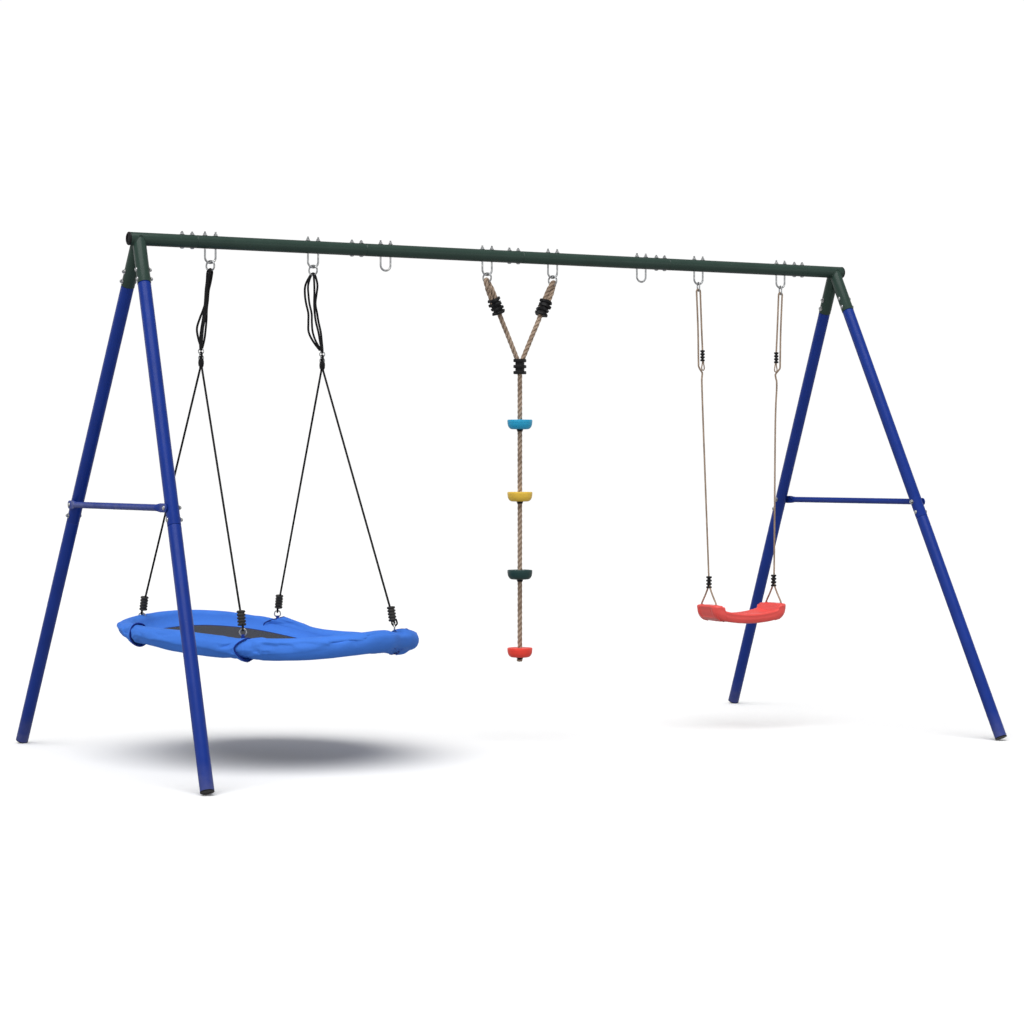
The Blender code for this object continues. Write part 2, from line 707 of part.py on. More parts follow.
def make_clamp():
    """Ribbed clamp that joins both arms to the single rope."""
    levels = (0.0, 0.14, 0.22, 0.40, 0.46, 0.62, 0.70, 0.86, 0.92, 1.0)
    ribs = (1, 1, 0, 0, 1, 1, 0, 0, 1, 1)
    rings = []
    for level, rib in zip(levels, ribs):
        half_x, half_y = CLAMP_RIB if rib else CLAMP_WAIST
        z = CLAMP_BOTTOM_Z + level * (CLAMP_TOP_Z - CLAMP_BOTTOM_Z)
        ring = []
        for index in range(10):
            angle = 2 * math.pi * index / 10
            ring.append((CLIMB_X + half_x * math.cos(angle), half_y * math.sin(angle), z))
        rings.append(ring)
    return add_part("climb_clamp", loft_mesh(rings, False), "black_plastic")


def make_climb_rope():
    """Main rope with its end knot under the last disc."""
    knot_z = DISC_TOP_Z["red"] - DISC_HEIGHT - KNOT_HALF_HEIGHT - 0.004
    top_z = CLAMP_BOTTOM_Z - SWAY_CLEARANCE
    points = smooth_route([(CLIMB_X, 0.0, top_z), (CLIMB_X, 0.0, knot_z)], 0.11)
    rope = add_part("climb_rope", curve_as_mesh(tube_curve(points, CLIMB_ROPE_R)), "beige_rope")
    smooth(rope.data)
    mesh = bpy.data.meshes.new("knot")
    work = bmesh.new()
    bmesh.ops.create_uvsphere(work, u_segments=10, v_segments=6, radius=1.0)
    bmesh.ops.scale(work, vec=(KNOT_R, KNOT_R, KNOT_HALF_HEIGHT), verts=work.verts)
    work.to_mesh(mesh)
    work.free()
    knot = add_cutter("knot", mesh, Matrix.Translation((CLIMB_X, 0.0, knot_z)))
    combine(rope, knot, "UNION")
    return rope


def make_disc(colour, top_z):
    """Dished foot disc with a flat top, threaded on the rope."""
    bore = CLIMB_ROPE_R + 0.0007
    outline = [(bore, 0.0), (DISC_R - 0.004, 0.0), (DISC_R, -0.003), (DISC_R, -0.012),
               (DISC_R - 0.005, -0.025), (DISC_R - 0.013, -0.034),
               (DISC_FOOT_R, -DISC_HEIGHT), (bore, -DISC_HEIGHT)]
    profile = turned(outline, True, 16)
    frame = Matrix.Translation((CLIMB_X, 0.0, top_z))
    return add_turned(f"climb_disc_{colour}", profile, f"{colour}_plastic", frame)


def make_climbing_rope():
    """The climbing rope on its two pivots."""
    upper = [make_clamp()]
    for side, side_x in (("left", -1), ("right", 1)):
        upper.append(make_hanging_ring(f"climb_ring_{side}", f"climb_{side}", CLIMB_RING_R))
        upper.append(make_climb_arm(side, side_x))
    lower = [make_climb_rope()]
    lower += [make_disc(colour, top_z) for colour, top_z in DISC_TOP_Z.items()]
    swing = pivot("climb_swing_axis", (CLIMB_X, 0.0, HANGER_BOTTOM_Z), upper)
    sway = pivot("climb_sway_axis", (CLIMB_X, 0.0, CLAMP_BOTTOM_Z), lower)
    sway.parent = swing
    sway.matrix_parent_inverse = swing.matrix_world.inverted()


# ---------------------------------------------------------------- seat swing
def make_link(side):
    """Long link hooked under a hanger, in the YZ plane."""
    top_z = HANGER_BOTTOM_Z + HANGER_WIRE_R + LINK_WIRE_R + GAP
    centre_z = top_z - LINK_HEIGHT / 2
    run = LINK_HEIGHT / 2 - LINK_HALF_WIDTH
    points = []
    for end, start_angle in ((1, 0.0), (-1, math.pi)):
        for step in range(7):
            angle = start_angle + math.pi * step / 6
            points.append((HANGER_X[f"seat_{side}"], LINK_HALF_WIDTH * math.cos(angle),
                           centre_z + end * run + LINK_HALF_WIDTH * math.sin(angle)))
    curve = tube_curve(points, LINK_WIRE_R, closed=True)
    return add_part(f"seat_link_{side}", curve, "zinc_steel")


def make_seat_rope(side, lean):
    """Rope from the seat clamp, up over the link and back down to its adjuster."""
    x = HANGER_X[f"seat_{side}"]
    clamp_x = SEAT_X - lean * SEAT_HOLE_X
    link_bottom = HANGER_BOTTOM_Z + HANGER_WIRE_R + LINK_WIRE_R + GAP - LINK_HEIGHT
    crown_z = link_bottom + LINK_WIRE_R + SEAT_ROPE_R + GAP
    arc_z = crown_z - SEAT_LOOP_R
    rising = [(clamp_x, 0.0, SEAT_TILT_Z + SEAT_TILT_CLEARANCE),
              (x + lean * 0.018, 0.0, 1.500),
              (x + lean * 0.014, 0.0, 1.530),
              (x + lean * 0.007, 0.0, 1.560),
              (x - lean * 0.001, 0.0, 1.720),
              (x - lean * SEAT_LOOP_R, 0.0, arc_z)]
    route = smooth_route(rising, 0.085)
    for step in range(1, 6):
        angle = math.pi * (1 - step / 6)
        route.append(Vector((x + lean * SEAT_LOOP_R * math.cos(angle), 0.0,
                             arc_z + SEAT_LOOP_R * math.sin(angle))))
    falling = [(x + lean * SEAT_LOOP_R, 0.0, arc_z),
               (x + lean * 0.017, 0.0, 1.720),
               (x + lean * 0.026, 0.0, 1.556)]
    route += smooth_route(falling, 0.085)
    return add_part(f"seat_rope_{side}", tube_curve(route, SEAT_ROPE_R), "beige_rope")


def make_bridle(side, lean):
    """Rope loop from the clamp through both holes of one seat ear."""
    x = SEAT_X - lean * SEAT_HOLE_X
    under = SEAT_EAR_Z - SEAT_SHELL - 0.013
    half = [(x, -0.0048, SEAT_TILT_Z - SEAT_TILT_CLEARANCE),
            (x, -0.0075, 0.610),
            (x, -SEAT_HOLE_Y + 0.0035, 0.5505),
            (x, -SEAT_HOLE_Y, 0.541),
            (x, -SEAT_HOLE_Y, 0.530),
            (x, -SEAT_HOLE_Y + 0.006, under)]
    whole = half + [(px, -py, pz) for px, py, pz in reversed(half)]
    return add_part(f"seat_bridle_{side}", tube_curve(smooth_route(whole, 0.030), SEAT_ROPE_R),
                    "beige_rope")


def seat_stations(count, half, shoulder):
    """Grid stations across the seat: skirt, edge, shoulder, then even steps."""
    inner = half - 2 * shoulder
    steps = count - 6
    even = [-inner + 2 * inner * index / steps for index in range(steps + 1)]
    return [-half, -half, -half + shoulder] + even + [half - shoulder, half, half]


def seat_top_z(x):
    """Height of the seat's top along its length: low pan, raised ears."""
    blend = min(1.0, max(0.0, (abs(x) - 0.124) / 0.030))
    ear = blend * blend * (3 - 2 * blend)
    pan = SEAT_PAN_Z + 0.020 * (x / 0.14) ** 2
    return pan * (1 - ear) + SEAT_EAR_Z * ear


def round_corner(x, y):
    """Pull a point of the rectangular plan onto one with round corners."""
    over_x = abs(x) - (SEAT_LENGTH / 2 - SEAT_CORNER)
    over_y = abs(y) - (SEAT_WIDTH / 2 - SEAT_CORNER)
    if over_x <= 0.0 or over_y <= 0.0:
        return x, y
    shrink = max(over_x, over_y) / math.hypot(over_x, over_y)
    return (math.copysign(abs(x) - over_x * (1 - shrink), x),
            math.copysign(abs(y) - over_y * (1 - shrink), y))


def make_seat():
    """Moulded seat: a thin shell with a skirt, two raised ears and four rope holes."""
    along_x = 20
    along_y = 10
    xs = seat_stations(along_x, SEAT_LENGTH / 2, 0.005)
    ys = seat_stations(along_y, SEAT_WIDTH / 2, 0.005)
    drop = (None, 0.010, 0.002)
    mesh = bpy.data.meshes.new("seat")
    work = bmesh.new()
    bmesh.ops.create_grid(work, x_segments=along_x, y_segments=along_y, size=0.5)
    for vertex in work.verts:
        column = round((vertex.co.x + 0.5) * along_x)
        row = round((vertex.co.y + 0.5) * along_y)
        ring = min(column, row, along_x - column, along_y - row)
        x, y = round_corner(xs[column], ys[row])
        if ring == 0:
            x *= 0.965
            y *= 0.94
            z = SEAT_BASE_Z + 0.022 * (2 * x / SEAT_LENGTH) ** 2
        else:
            hollow = 0.004 * max(0.0, 1 - (2 * y / SEAT_WIDTH) ** 2)
            z = seat_top_z(x) - (drop[ring] if ring < len(drop) else 0.0) - hollow
        vertex.co = (x, y, z)
    work.to_mesh(mesh)
    work.free()
    smooth(mesh)
    seat = add_part("seat", mesh, "coral_plastic", Matrix.Translation((SEAT_X, 0.0, 0.0)))
    shell = seat.modifiers.new("shell", "SOLIDIFY")
    shell.thickness = SEAT_SHELL
    shell.offset = -1.0
    for hole_x in (-SEAT_HOLE_X, SEAT_HOLE_X):
        for hole_y in (-SEAT_HOLE_Y, SEAT_HOLE_Y):
            x = SEAT_X + hole_x
            drill = add_rod("seat_drill", (x, hole_y, 0.505), (x, hole_y, 0.560),
                            SEAT_HOLE_R, 10)
            combine(seat, drill, "DIFFERENCE")
    return seat


def make_seat_swing():
    """The moulded seat swing on its two pivots."""
    hanging = []
    seat = [make_seat()]
    for side, lean in (("left", 1), ("right", -1)):
        hanging += [make_link(side), make_seat_rope(side, lean)]
        seat.append(make_bridle(side, lean))
    middle = (HANGER_X["seat_left"] + HANGER_X["seat_right"]) / 2
    swing = pivot("seat_swing_axis", (middle, 0.0, HANGER_BOTTOM_Z), hanging)
    tilt = pivot("seat_tilt_axis", (SEAT_X, 0.0, SEAT_TILT_Z), seat)
    tilt.parent = swing
    tilt.matrix_parent_inverse = swing.matrix_world.inverted()


# ---------------------------------------------------------------- assembly
clear_scene()
PARTS = make_collection("swing_set")
CUTTERS = make_collection("cutters")

for end_label, end_side in (("left", -1), ("right", 1)):
    make_end_connector(end_label, end_side)
    make_beam_cap(end_label, end_side)
    make_crossbar(end_label, end_side)
    for row_label, row_side in (("front", -1), ("back", 1)):
        make_leg(f"{end_label}_{row_label}", end_side, row_side)
for tube_index in range(len(SEAM_X) - 1):
    make_beam_tube(tube_index)
for hanger_label, position_x in HANGER_X.items():
    make_hanger(hanger_label, position_x)
make_nest_swing()
make_climbing_rope()
make_seat_swing()
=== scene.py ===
"""Looks of the swing set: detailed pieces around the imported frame, in metres, +Z up."""
import math

import bpy
from mathutils import Matrix, Vector, noise


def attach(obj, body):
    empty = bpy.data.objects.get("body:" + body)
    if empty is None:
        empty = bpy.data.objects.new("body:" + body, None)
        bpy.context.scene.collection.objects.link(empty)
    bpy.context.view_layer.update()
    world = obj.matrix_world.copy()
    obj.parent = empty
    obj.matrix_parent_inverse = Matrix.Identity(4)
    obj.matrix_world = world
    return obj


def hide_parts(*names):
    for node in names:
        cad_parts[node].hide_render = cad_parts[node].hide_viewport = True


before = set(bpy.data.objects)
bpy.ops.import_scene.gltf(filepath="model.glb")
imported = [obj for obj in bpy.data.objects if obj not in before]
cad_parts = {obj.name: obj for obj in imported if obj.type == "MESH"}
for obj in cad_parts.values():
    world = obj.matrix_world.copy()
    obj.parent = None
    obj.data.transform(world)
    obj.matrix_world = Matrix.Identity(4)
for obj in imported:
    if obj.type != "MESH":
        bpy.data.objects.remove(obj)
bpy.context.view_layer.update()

# ---------------------------------------------------------------- dimensions of the frame
BEAM_Z = 1.986
APEX_X = 1.631
FOOT_X = 1.765
FOOT_Y = 0.961
TUBE_R = 0.025
TUBE_BORE_R = 0.0235
SPIGOT_R = 0.023
SOCKET_R = 0.026
BEAM_END_X = 1.668
SEAMS = (-1.400, -0.681, 0.035, 0.751, 1.470)
BEAM_JOINTS = (-1.435, -0.716, 0.0, 0.716, 1.435)
SOCKET_END_Z = 1.813
LEG_SEAM_Z = 0.914
LEG_BOLT_Z = (1.8655, 1.830, 0.936)
CROSSBAR_Z = 0.979
BAR_R = 0.0125
BAR_FLAT_DEPTH = 0.0024
BAR_FLAT_WIDTH = 0.0165
BAR_TIP = 0.0175
HANGER_Z = 1.907
HANGER_HALF = 0.022
HANGER_WIRE = 0.004
HANGERS = {"nest_left": -1.340, "nest_right": -0.906, "spare_left": -0.588,
           "climb_left": -0.125, "climb_right": 0.185, "spare_right": 0.620,
           "seat_left": 0.910, "seat_right": 1.340}
FOOT_Z = 0.024 * math.sin(math.atan2(math.hypot(FOOT_X - APEX_X, FOOT_Y), BEAM_Z))

NEST_X = -1.106
NEST_Z = 0.471
NEST_A = 0.520
NEST_B = 0.630
NEST_WAVES = ((-0.032, 0.013), (-0.019, -0.015), (-0.011, -0.008))
PAD_R = 0.0375
HOOP_R = 0.011
TIE_X = {"left": -1.426, "right": -0.820}
ADJUST_X = {"left": -1.379, "right": -0.867}
TILT_Z = 1.5625
TIE_RING_R = 0.0125
TIE_WIRE = 0.0025
NEST_RING_R = 0.019
COVER_SIDES = 56
# Direction round the rim's tube, in degrees, where the cover is drawn to the mat.
FOLD = 212
# Radius that turns an angle round the rim into metres of cloth.
CLOTH_R = 0.58
# Share of the way from the mat's middle to the rim where its doubled hem is stitched.
STITCH = 0.913

CLIMB_X = 0.029
CLIMB_ROPE_R = 0.0100
CLIMB_PITCH = 0.066
CLIMB_RING_R = 0.0190
RING_Z = HANGER_Z + HANGER_WIRE + 0.0035 + 0.0003
DISCS = {"blue": 1.321, "yellow": 1.025, "green": 0.705, "red": 0.385}
SEAT_X = 1.1365
SEAT_HOLE_X = 0.170
SEAT_HOLE_Y = 0.054
SEAT_TILT_Z = 0.6325
SEAT_LOOP_R = 0.0095
SEAT_ROPE_R = 0.0040
SEAT_ROPE_PITCH = 0.021
# Horizontal directions across and along the sight line from the catalogue's camera.
ACROSS = Vector((0.867, -0.498, 0.0))
DEEP = Vector((0.498, 0.867, 0.0))
UP = Vector((0.0, 0.0, 1.0))


# ---------------------------------------------------------------- materials
def new_material(name, colour, roughness, metallic=0.0):
    """An empty procedural material and handy handles to its tree."""
    material = bpy.data.materials.new(name)
    material.use_nodes = True
    tree = material.node_tree
    shader = tree.nodes["Principled BSDF"]
    shader.inputs["Base Color"].default_value = (*colour, 1.0)
    shader.inputs["Roughness"].default_value = roughness
    shader.inputs["Metallic"].default_value = metallic
    return material, tree, shader


def add_node(tree, kind, **values):
    """A node with some of its properties or inputs set."""
    node = tree.nodes.new(kind)
    for key, value in values.items():
        if hasattr(node, key):
            setattr(node, key, value)
        else:
            node.inputs[key.replace("_", " ")].default_value = value
    return node


def coordinates(tree, source="Object", scale=(1.0, 1.0, 1.0)):
    """Texture coordinates stretched by a scale per axis."""
    start = add_node(tree, "ShaderNodeTexCoord")
    mapping = add_node(tree, "ShaderNodeMapping")
    mapping.inputs["Scale"].default_value = scale
    tree.links.new(start.outputs[source], mapping.inputs["Vector"])
    return mapping.outputs["Vector"]


def noise_node(tree, vector, scale, detail=4.0, rough=0.5):
    """A noise texture's height."""
    node = add_node(tree, "ShaderNodeTexNoise", Scale=scale, Detail=detail, Roughness=rough)
    tree.links.new(vector, node.inputs["Vector"])
    return node.outputs["Fac"]


def ramp(tree, factor, stops):
    """A colour ramp of (position, colour or grey) stops."""
    node = add_node(tree, "ShaderNodeValToRGB")
    elements = node.color_ramp.elements
    while len(elements) < len(stops):
        elements.new(0.5)
    for element, (position, value) in zip(elements, stops):
        element.position = position
        rgb = value if isinstance(value, tuple) else (value, value, value)
        element.color = (*rgb, 1.0)
    tree.links.new(factor, node.inputs["Fac"])
    return node.outputs["Color"]


def mix(tree, factor, low, high, blend="MIX"):
    """Mix two colours; each input is a socket or a constant."""
    node = add_node(tree, "ShaderNodeMix", data_type="RGBA", blend_type=blend)
    for slot_name, value in (("Factor", factor), ("A", low), ("B", high)):
        index = {"Factor": 0, "A": 6, "B": 7}[slot_name]
        if isinstance(value, bpy.types.NodeSocket):
            tree.links.new(value, node.inputs[index])
        elif isinstance(value, tuple):
            node.inputs[index].default_value = (*value, 1.0)
        else:
            node.inputs[index].default_value = value
    return node.outputs[2]


def math_node(tree, operation, first, second=0.0):
    """A math node of sockets or numbers."""
    node = add_node(tree, "ShaderNodeMath", operation=operation)
    for index, value in enumerate((first, second)):
        if isinstance(value, bpy.types.NodeSocket):
            tree.links.new(value, node.inputs[index])
        else:
            node.inputs[index].default_value = value
    return node.outputs[0]


def bump(tree, shader, height, strength, distance, normal=None):
    """Chain a bump into the shader's normal."""
    node = add_node(tree, "ShaderNodeBump", Strength=strength, Distance=distance)
    tree.links.new(height, node.inputs["Height"])
    if normal is not None:
        tree.links.new(normal, node.inputs["Normal"])
    tree.links.new(node.outputs["Normal"], shader.inputs["Normal"])
    return node.outputs["Normal"]


def uneven(tree, shader, height, *stops):
    """Roughness that follows a height through (position, roughness) stops."""
    tree.links.new(ramp(tree, height, stops), shader.inputs["Roughness"])


def smooth_step(value, start, end):
    """Zero before start, one after end, smooth between."""
    t = min(1.0, max(0.0, (value - start) / (end - start)))
    return t * t * (3 - 2 * t)


def scaled(colour, factor):
    """A colour made darker or lighter."""
    return tuple(min(1.0, channel * factor) for channel in colour)


def attribute(tree, name):
    """A float attribute of the mesh."""
    return add_node(tree, "ShaderNodeAttribute", attribute_name=name).outputs["Fac"]


def powder_coat(name, colour, roughness, coat):
    """Powder-coated steel: orange peel, faint cloudiness, scuffs and ground dust."""
    material, tree, shader = new_material(name, colour, roughness)
    shader.inputs["Specular IOR Level"].default_value = 0.14
    shader.inputs["Coat Weight"].default_value = coat
    shader.inputs["Coat Roughness"].default_value = 0.18
    place = coordinates(tree)
    cloud = noise_node(tree, place, 9.0, 3.0)
    body = mix(tree, cloud, scaled(colour, 0.80), scaled(colour, 1.22))
    scuff = ramp(tree, noise_node(tree, place, 70.0, 6.0, 0.7), [(0.66, 0.0), (0.72, 1.0)])
    body = mix(tree, math_node(tree, "MULTIPLY", scuff, 0.12), body, (0.35, 0.35, 0.34))
    split = add_node(tree, "ShaderNodeSeparateXYZ")
    tree.links.new(place, split.inputs["Vector"])
    low = ramp(tree, split.outputs["Z"], [(0.0, 0.35), (0.12, 0.0)])
    dust = math_node(tree, "MULTIPLY", low, noise_node(tree, place, 35.0, 5.0))
    body = mix(tree, dust, body, (0.30, 0.27, 0.22))
    tree.links.new(body, shader.inputs["Base Color"])
    uneven(tree, shader, noise_node(tree, place, 28.0, 4.0), (0.3, roughness - 0.06),
           (0.75, roughness + 0.10))
    bump(tree, shader, noise_node(tree, place, 650.0, 2.0), 0.10, 0.0006)
    return material


def zinc_plate(name, colour, roughness):
    """Bright zinc-plated steel with soft blooming and rubbed marks."""
    material, tree, shader = new_material(name, colour, roughness, 1.0)
    place = coordinates(tree)
    bloom = noise_node(tree, place, 120.0, 4.0)
    tint = ramp(tree, bloom, [(0.25, scaled(colour, 0.62)), (0.55, colour),
                              (0.80, (0.78, 0.77, 0.72))])
    tree.links.new(tint, shader.inputs["Base Color"])
    uneven(tree, shader, noise_node(tree, place, 260.0, 5.0), (0.3, roughness - 0.10),
           (0.8, roughness + 0.15))
    bump(tree, shader, noise_node(tree, place, 900.0, 3.0), 0.15, 0.0004)
    return material


def moulded_plastic(name, colour, roughness, shine=0.30, light=1.16):
    """Injection-moulded plastic: fine spark-eroded grain and slight colour drift."""
    material, tree, shader = new_material(name, colour, roughness)
    shader.inputs["Specular IOR Level"].default_value = shine
    place = coordinates(tree)
    drift = noise_node(tree, place, 14.0, 3.0)
    body = mix(tree, drift, scaled(colour, 0.86), scaled(colour, light))
    speck = ramp(tree, noise_node(tree, place, 420.0, 2.0), [(0.62, 0.0), (0.72, 1.0)])
    body = mix(tree, math_node(tree, "MULTIPLY", speck, 0.10), body, scaled(colour, 1.8))
    tree.links.new(body, shader.inputs["Base Color"])
    uneven(tree, shader, noise_node(tree, place, 40.0, 4.0), (0.3, roughness - 0.07),
           (0.8, roughness + 0.10))
    bump(tree, shader, noise_node(tree, place, 1400.0, 2.0), 0.22, 0.0003)
    return material


def rope_fibre(name, crest, groove_shade, flecks):
    """Rope: painted shade between its strands, fine yarns along them and stray fibres."""
    material, tree, shader = new_material(name, crest, 0.86)
    shader.inputs["Specular IOR Level"].default_value = 0.12
    shader.inputs["Sheen Weight"].default_value = 0.10
    shader.inputs["Sheen Roughness"].default_value = 0.5
    yarn_place = coordinates(tree, "UV", (30.0, 260.0, 1.0))
    wave = add_node(tree, "ShaderNodeTexWave", bands_direction="DIAGONAL", Scale=1.1,
                    Distortion=2.2, Detail=2.0)
    tree.links.new(yarn_place, wave.inputs["Vector"])
    yarns = wave.outputs["Fac"]
    height = attribute(tree, "strand")
    # Colour follows the strand height: painted shade colour in the grooves between strands, full
    # rope colour on the crests.
    body = ramp(tree, height, [(0.10, groove_shade), (0.62, scaled(crest, 0.82)), (1.0, crest)])
    body = mix(tree, math_node(tree, "MULTIPLY", yarns, 0.38), body, scaled(crest, 0.45))
    place = coordinates(tree)
    stray = ramp(tree, noise_node(tree, place, 1100.0, 3.0), [(0.58, 0.0), (0.66, 1.0)])
    body = mix(tree, math_node(tree, "MULTIPLY", stray, 0.35), body, flecks)
    # Noise keeps the colour no lighter than needed and no darker than the painted groove shade.
    body = mix(tree, noise_node(tree, place, 24.0, 2.0), groove_shade, body, "LIGHTEN")
    tree.links.new(body, shader.inputs["Base Color"])
    bump(tree, shader, yarns, 0.45, 0.0008)
    return material


def woven_cloth(name, colour, weave, sheen, fade):
    """Plain-woven polyester cloth; its UV map is in metres of cloth."""
    material, tree, shader = new_material(name, colour, 0.72)
    shader.inputs["Specular IOR Level"].default_value = 0.10
    shader.inputs["Sheen Weight"].default_value = sheen
    shader.inputs["Sheen Roughness"].default_value = 0.45
    shader.inputs["Sheen Tint"].default_value = (*scaled(colour, 1.6), 1.0)
    threads = []
    for direction in ("X", "Y"):
        wave = add_node(tree, "ShaderNodeTexWave", bands_direction=direction, Scale=1.0,
                        Distortion=0.35, Detail=1.0)
        tree.links.new(coordinates(tree, "UV", (weave, weave, weave)), wave.inputs["Vector"])
        threads.append(wave.outputs["Fac"])
    cross = math_node(tree, "MAXIMUM", threads[0], threads[1])
    place = coordinates(tree)
    drift = noise_node(tree, place, 6.0, 4.0)
    body = mix(tree, drift, scaled(colour, 0.82), scaled(colour, fade))
    body = mix(tree, math_node(tree, "MULTIPLY", cross, 0.22), body, scaled(colour, 0.55))
    streak = noise_node(tree, coordinates(tree, "UV", (40.0, 700.0, 1.0)), 1.0, 3.0)
    body = mix(tree, math_node(tree, "MULTIPLY", streak, 0.18), body, scaled(colour, 1.5))
    tree.links.new(body, shader.inputs["Base Color"])
    crease = bump(tree, shader, noise_node(tree, place, 22.0, 5.0, 0.55), 0.22, 0.006)
    bump(tree, shader, cross, 0.35, 0.0005, crease)
    return material


def net_cloth(name, colour, pitch):
    """Open-looking textile mat: round cords woven over and under, UV map in metres; painted shade
    between the cords and painted highlight on their crowns.
    """
    material, tree, shader = new_material(name, colour, 0.85)
    shader.inputs["Specular IOR Level"].default_value = 0.06
    place = coordinates(tree, "UV", (1.0 / pitch, 1.0 / pitch, 1.0))
    split = add_node(tree, "ShaderNodeSeparateXYZ")
    tree.links.new(place, split.inputs["Vector"])
    cords = []
    for axis in ("X", "Y"):
        turn = math_node(tree, "MULTIPLY", split.outputs[axis], 2 * math.pi)
        cords.append(math_node(tree, "ABSOLUTE", math_node(tree, "SINE", turn)))
    cross = math_node(tree, "MAXIMUM", cords[0], cords[1])
    # Colour follows cord height: painted shade in the gaps between cords, painted highlight on the
    # cord crowns.
    body = ramp(tree, cross, [(0.55, scaled(colour, 0.30)), (0.80, colour),
                              (1.0, scaled(colour, 1.35))])
    drift = noise_node(tree, coordinates(tree), 8.0, 4.0)
    body = mix(tree, math_node(tree, "MULTIPLY", drift, 0.45), body, scaled(colour, 1.6))
    tree.links.new(body, shader.inputs["Base Color"])
    bump(tree, shader, cross, 0.6, 0.0012)
    return material


GREEN = powder_coat("green_paint_coat", (0.030, 0.056, 0.045), 0.34, 0.08)
BLUE = powder_coat("blue_paint_coat", (0.009, 0.034, 0.242), 0.36, 0.05)
BLACK = moulded_plastic("black_moulding", (0.012, 0.012, 0.013), 0.42, 0.14)
GREY_RUBBER = moulded_plastic("grey_ferrule_moulding", (0.044, 0.042, 0.039), 0.55, 0.14)
ZINC = zinc_plate("zinc_plating", (0.46, 0.47, 0.48), 0.32)
COVER = woven_cloth("nest_cover_cloth", (0.058, 0.205, 0.740), 2600.0, 0.10, 1.22)
PIPING = woven_cloth("piping_cloth", (0.010, 0.030, 0.230), 2600.0, 0.15, 1.15)
MAT = net_cloth("nest_mat_net", (0.058, 0.060, 0.070), 0.0042)
# Rope colours: crest colour, painted shade colour for the grooves between strands, fleck colour.
BLACK_ROPE = rope_fibre("black_rope_braid", (0.022, 0.022, 0.024), (0.004, 0.004, 0.005),
                        (0.060, 0.060, 0.062))
BEIGE_ROPE = rope_fibre("beige_rope_twist", (0.830, 0.640, 0.490), (0.140, 0.085, 0.052),
                        (0.880, 0.740, 0.600))
CORAL = moulded_plastic("coral_seat_moulding", (0.860, 0.092, 0.080), 0.34, 0.40, light=1.06)
DISC_PAINT = {
    "blue": moulded_plastic("blue_disc_moulding", (0.016, 0.340, 0.580), 0.38),
    "yellow": moulded_plastic("yellow_disc_moulding", (0.780, 0.510, 0.060), 0.38),
    "green": moulded_plastic("green_disc_moulding", (0.012, 0.046, 0.044), 0.38),
    "red": moulded_plastic("red_disc_moulding", (0.830, 0.056, 0.036), 0.38),
}


# ---------------------------------------------------------------- mesh helpers
class Skin:
    """Points, faces, UV corners and a strand-height value that become one mesh."""

    def __init__(self):
        self.points = []
        self.faces = []
        self.uvs = []
        self.strand = []

    def add_rows(self, rows, uv_rows, heights=None, loop_rows=False, caps=True):
        """Skin rows of closed rings. Each UV row has one more entry than its ring."""
        base = len(self.points)
        sides = len(rows[0])
        for index, row in enumerate(rows):
            self.points.extend(row)
            self.strand.extend(heights[index] if heights else [1.0] * sides)
        count = len(rows)
        last = count if loop_rows else count - 1
        for low in range(last):
            high = (low + 1) % count
            for side in range(sides):
                after = (side + 1) % sides
                self.faces.append((base + low * sides + side, base + low * sides + after,
                                   base + high * sides + after, base + high * sides + side))
                high_uv = uv_rows[low + 1]
                self.uvs.append((uv_rows[low][side], uv_rows[low][side + 1],
                                 high_uv[side + 1], high_uv[side]))
        if caps and not loop_rows:
            for row, flip in ((0, True), (count - 1, False)):
                corners = [base + row * sides + side for side in range(sides)]
                if flip:
                    corners.reverse()
                self.faces.append(tuple(corners))
                self.uvs.append(tuple((0.5, 0.5) for _ in corners))

    def mesh(self, name):
        """The finished mesh with its UV map and strand attribute."""
        mesh = bpy.data.meshes.new(name)
        mesh.from_pydata([tuple(point) for point in self.points], [], self.faces)
        layer = mesh.uv_layers.new(name="UVMap")
        flat = [value for corners in self.uvs for uv in corners for value in uv]
        layer.data.foreach_set("uv", flat)
        strand = mesh.attributes.new("strand", "FLOAT", "POINT")
        strand.data.foreach_set("value", self.strand)
        return mesh


def show(name, skin, material, body, *replaced, sharp=38.0):
    """Make a piece of a skin, riding on a body and standing for CAD nodes."""
    mesh = skin.mesh(name)
    mesh.materials.append(material)
    mesh.shade_smooth()
    mesh.set_sharp_from_angle(angle=math.radians(sharp))
    piece = bpy.data.objects.new(name, mesh)
    bpy.context.scene.collection.objects.link(piece)
    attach(piece, body)
    if replaced:
        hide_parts(*replaced)
    return piece


def along(start, direction):
    """A frame at start whose +Z runs along direction."""
    turn = Vector(direction).to_track_quat("Z", "Y")
    return Matrix.Translation(start) @ turn.to_matrix().to_4x4()


def ring_uvs(sides, travelled):
    """UV row of a round ring: once around, at a distance along."""
    return [(side / sides, travelled) for side in range(sides + 1)]


def add_turned(skin, place, profile, sides=40, squash=1.0, lobes=None):
    """Turn (height, radius) stations about local Z; lobes(angle, height) scales them."""
    rows = []
    uv_rows = []
    travelled = 0.0
    previous = profile[0]
    for height, radius in profile:
        travelled += math.hypot(height - previous[0], radius - previous[1])
        previous = (height, radius)
        ring = []
        for side in range(sides):
            angle = 2 * math.pi * side / sides
            reach = max(radius, 0.00002) * (lobes(angle, height) if lobes else 1.0)
            ring.append(place @ Vector((reach * math.cos(angle),
                                        squash * reach * math.sin(angle), height)))
        rows.append(ring)
        uv_rows.append(ring_uvs(sides, travelled))
    skin.add_rows(rows, uv_rows)


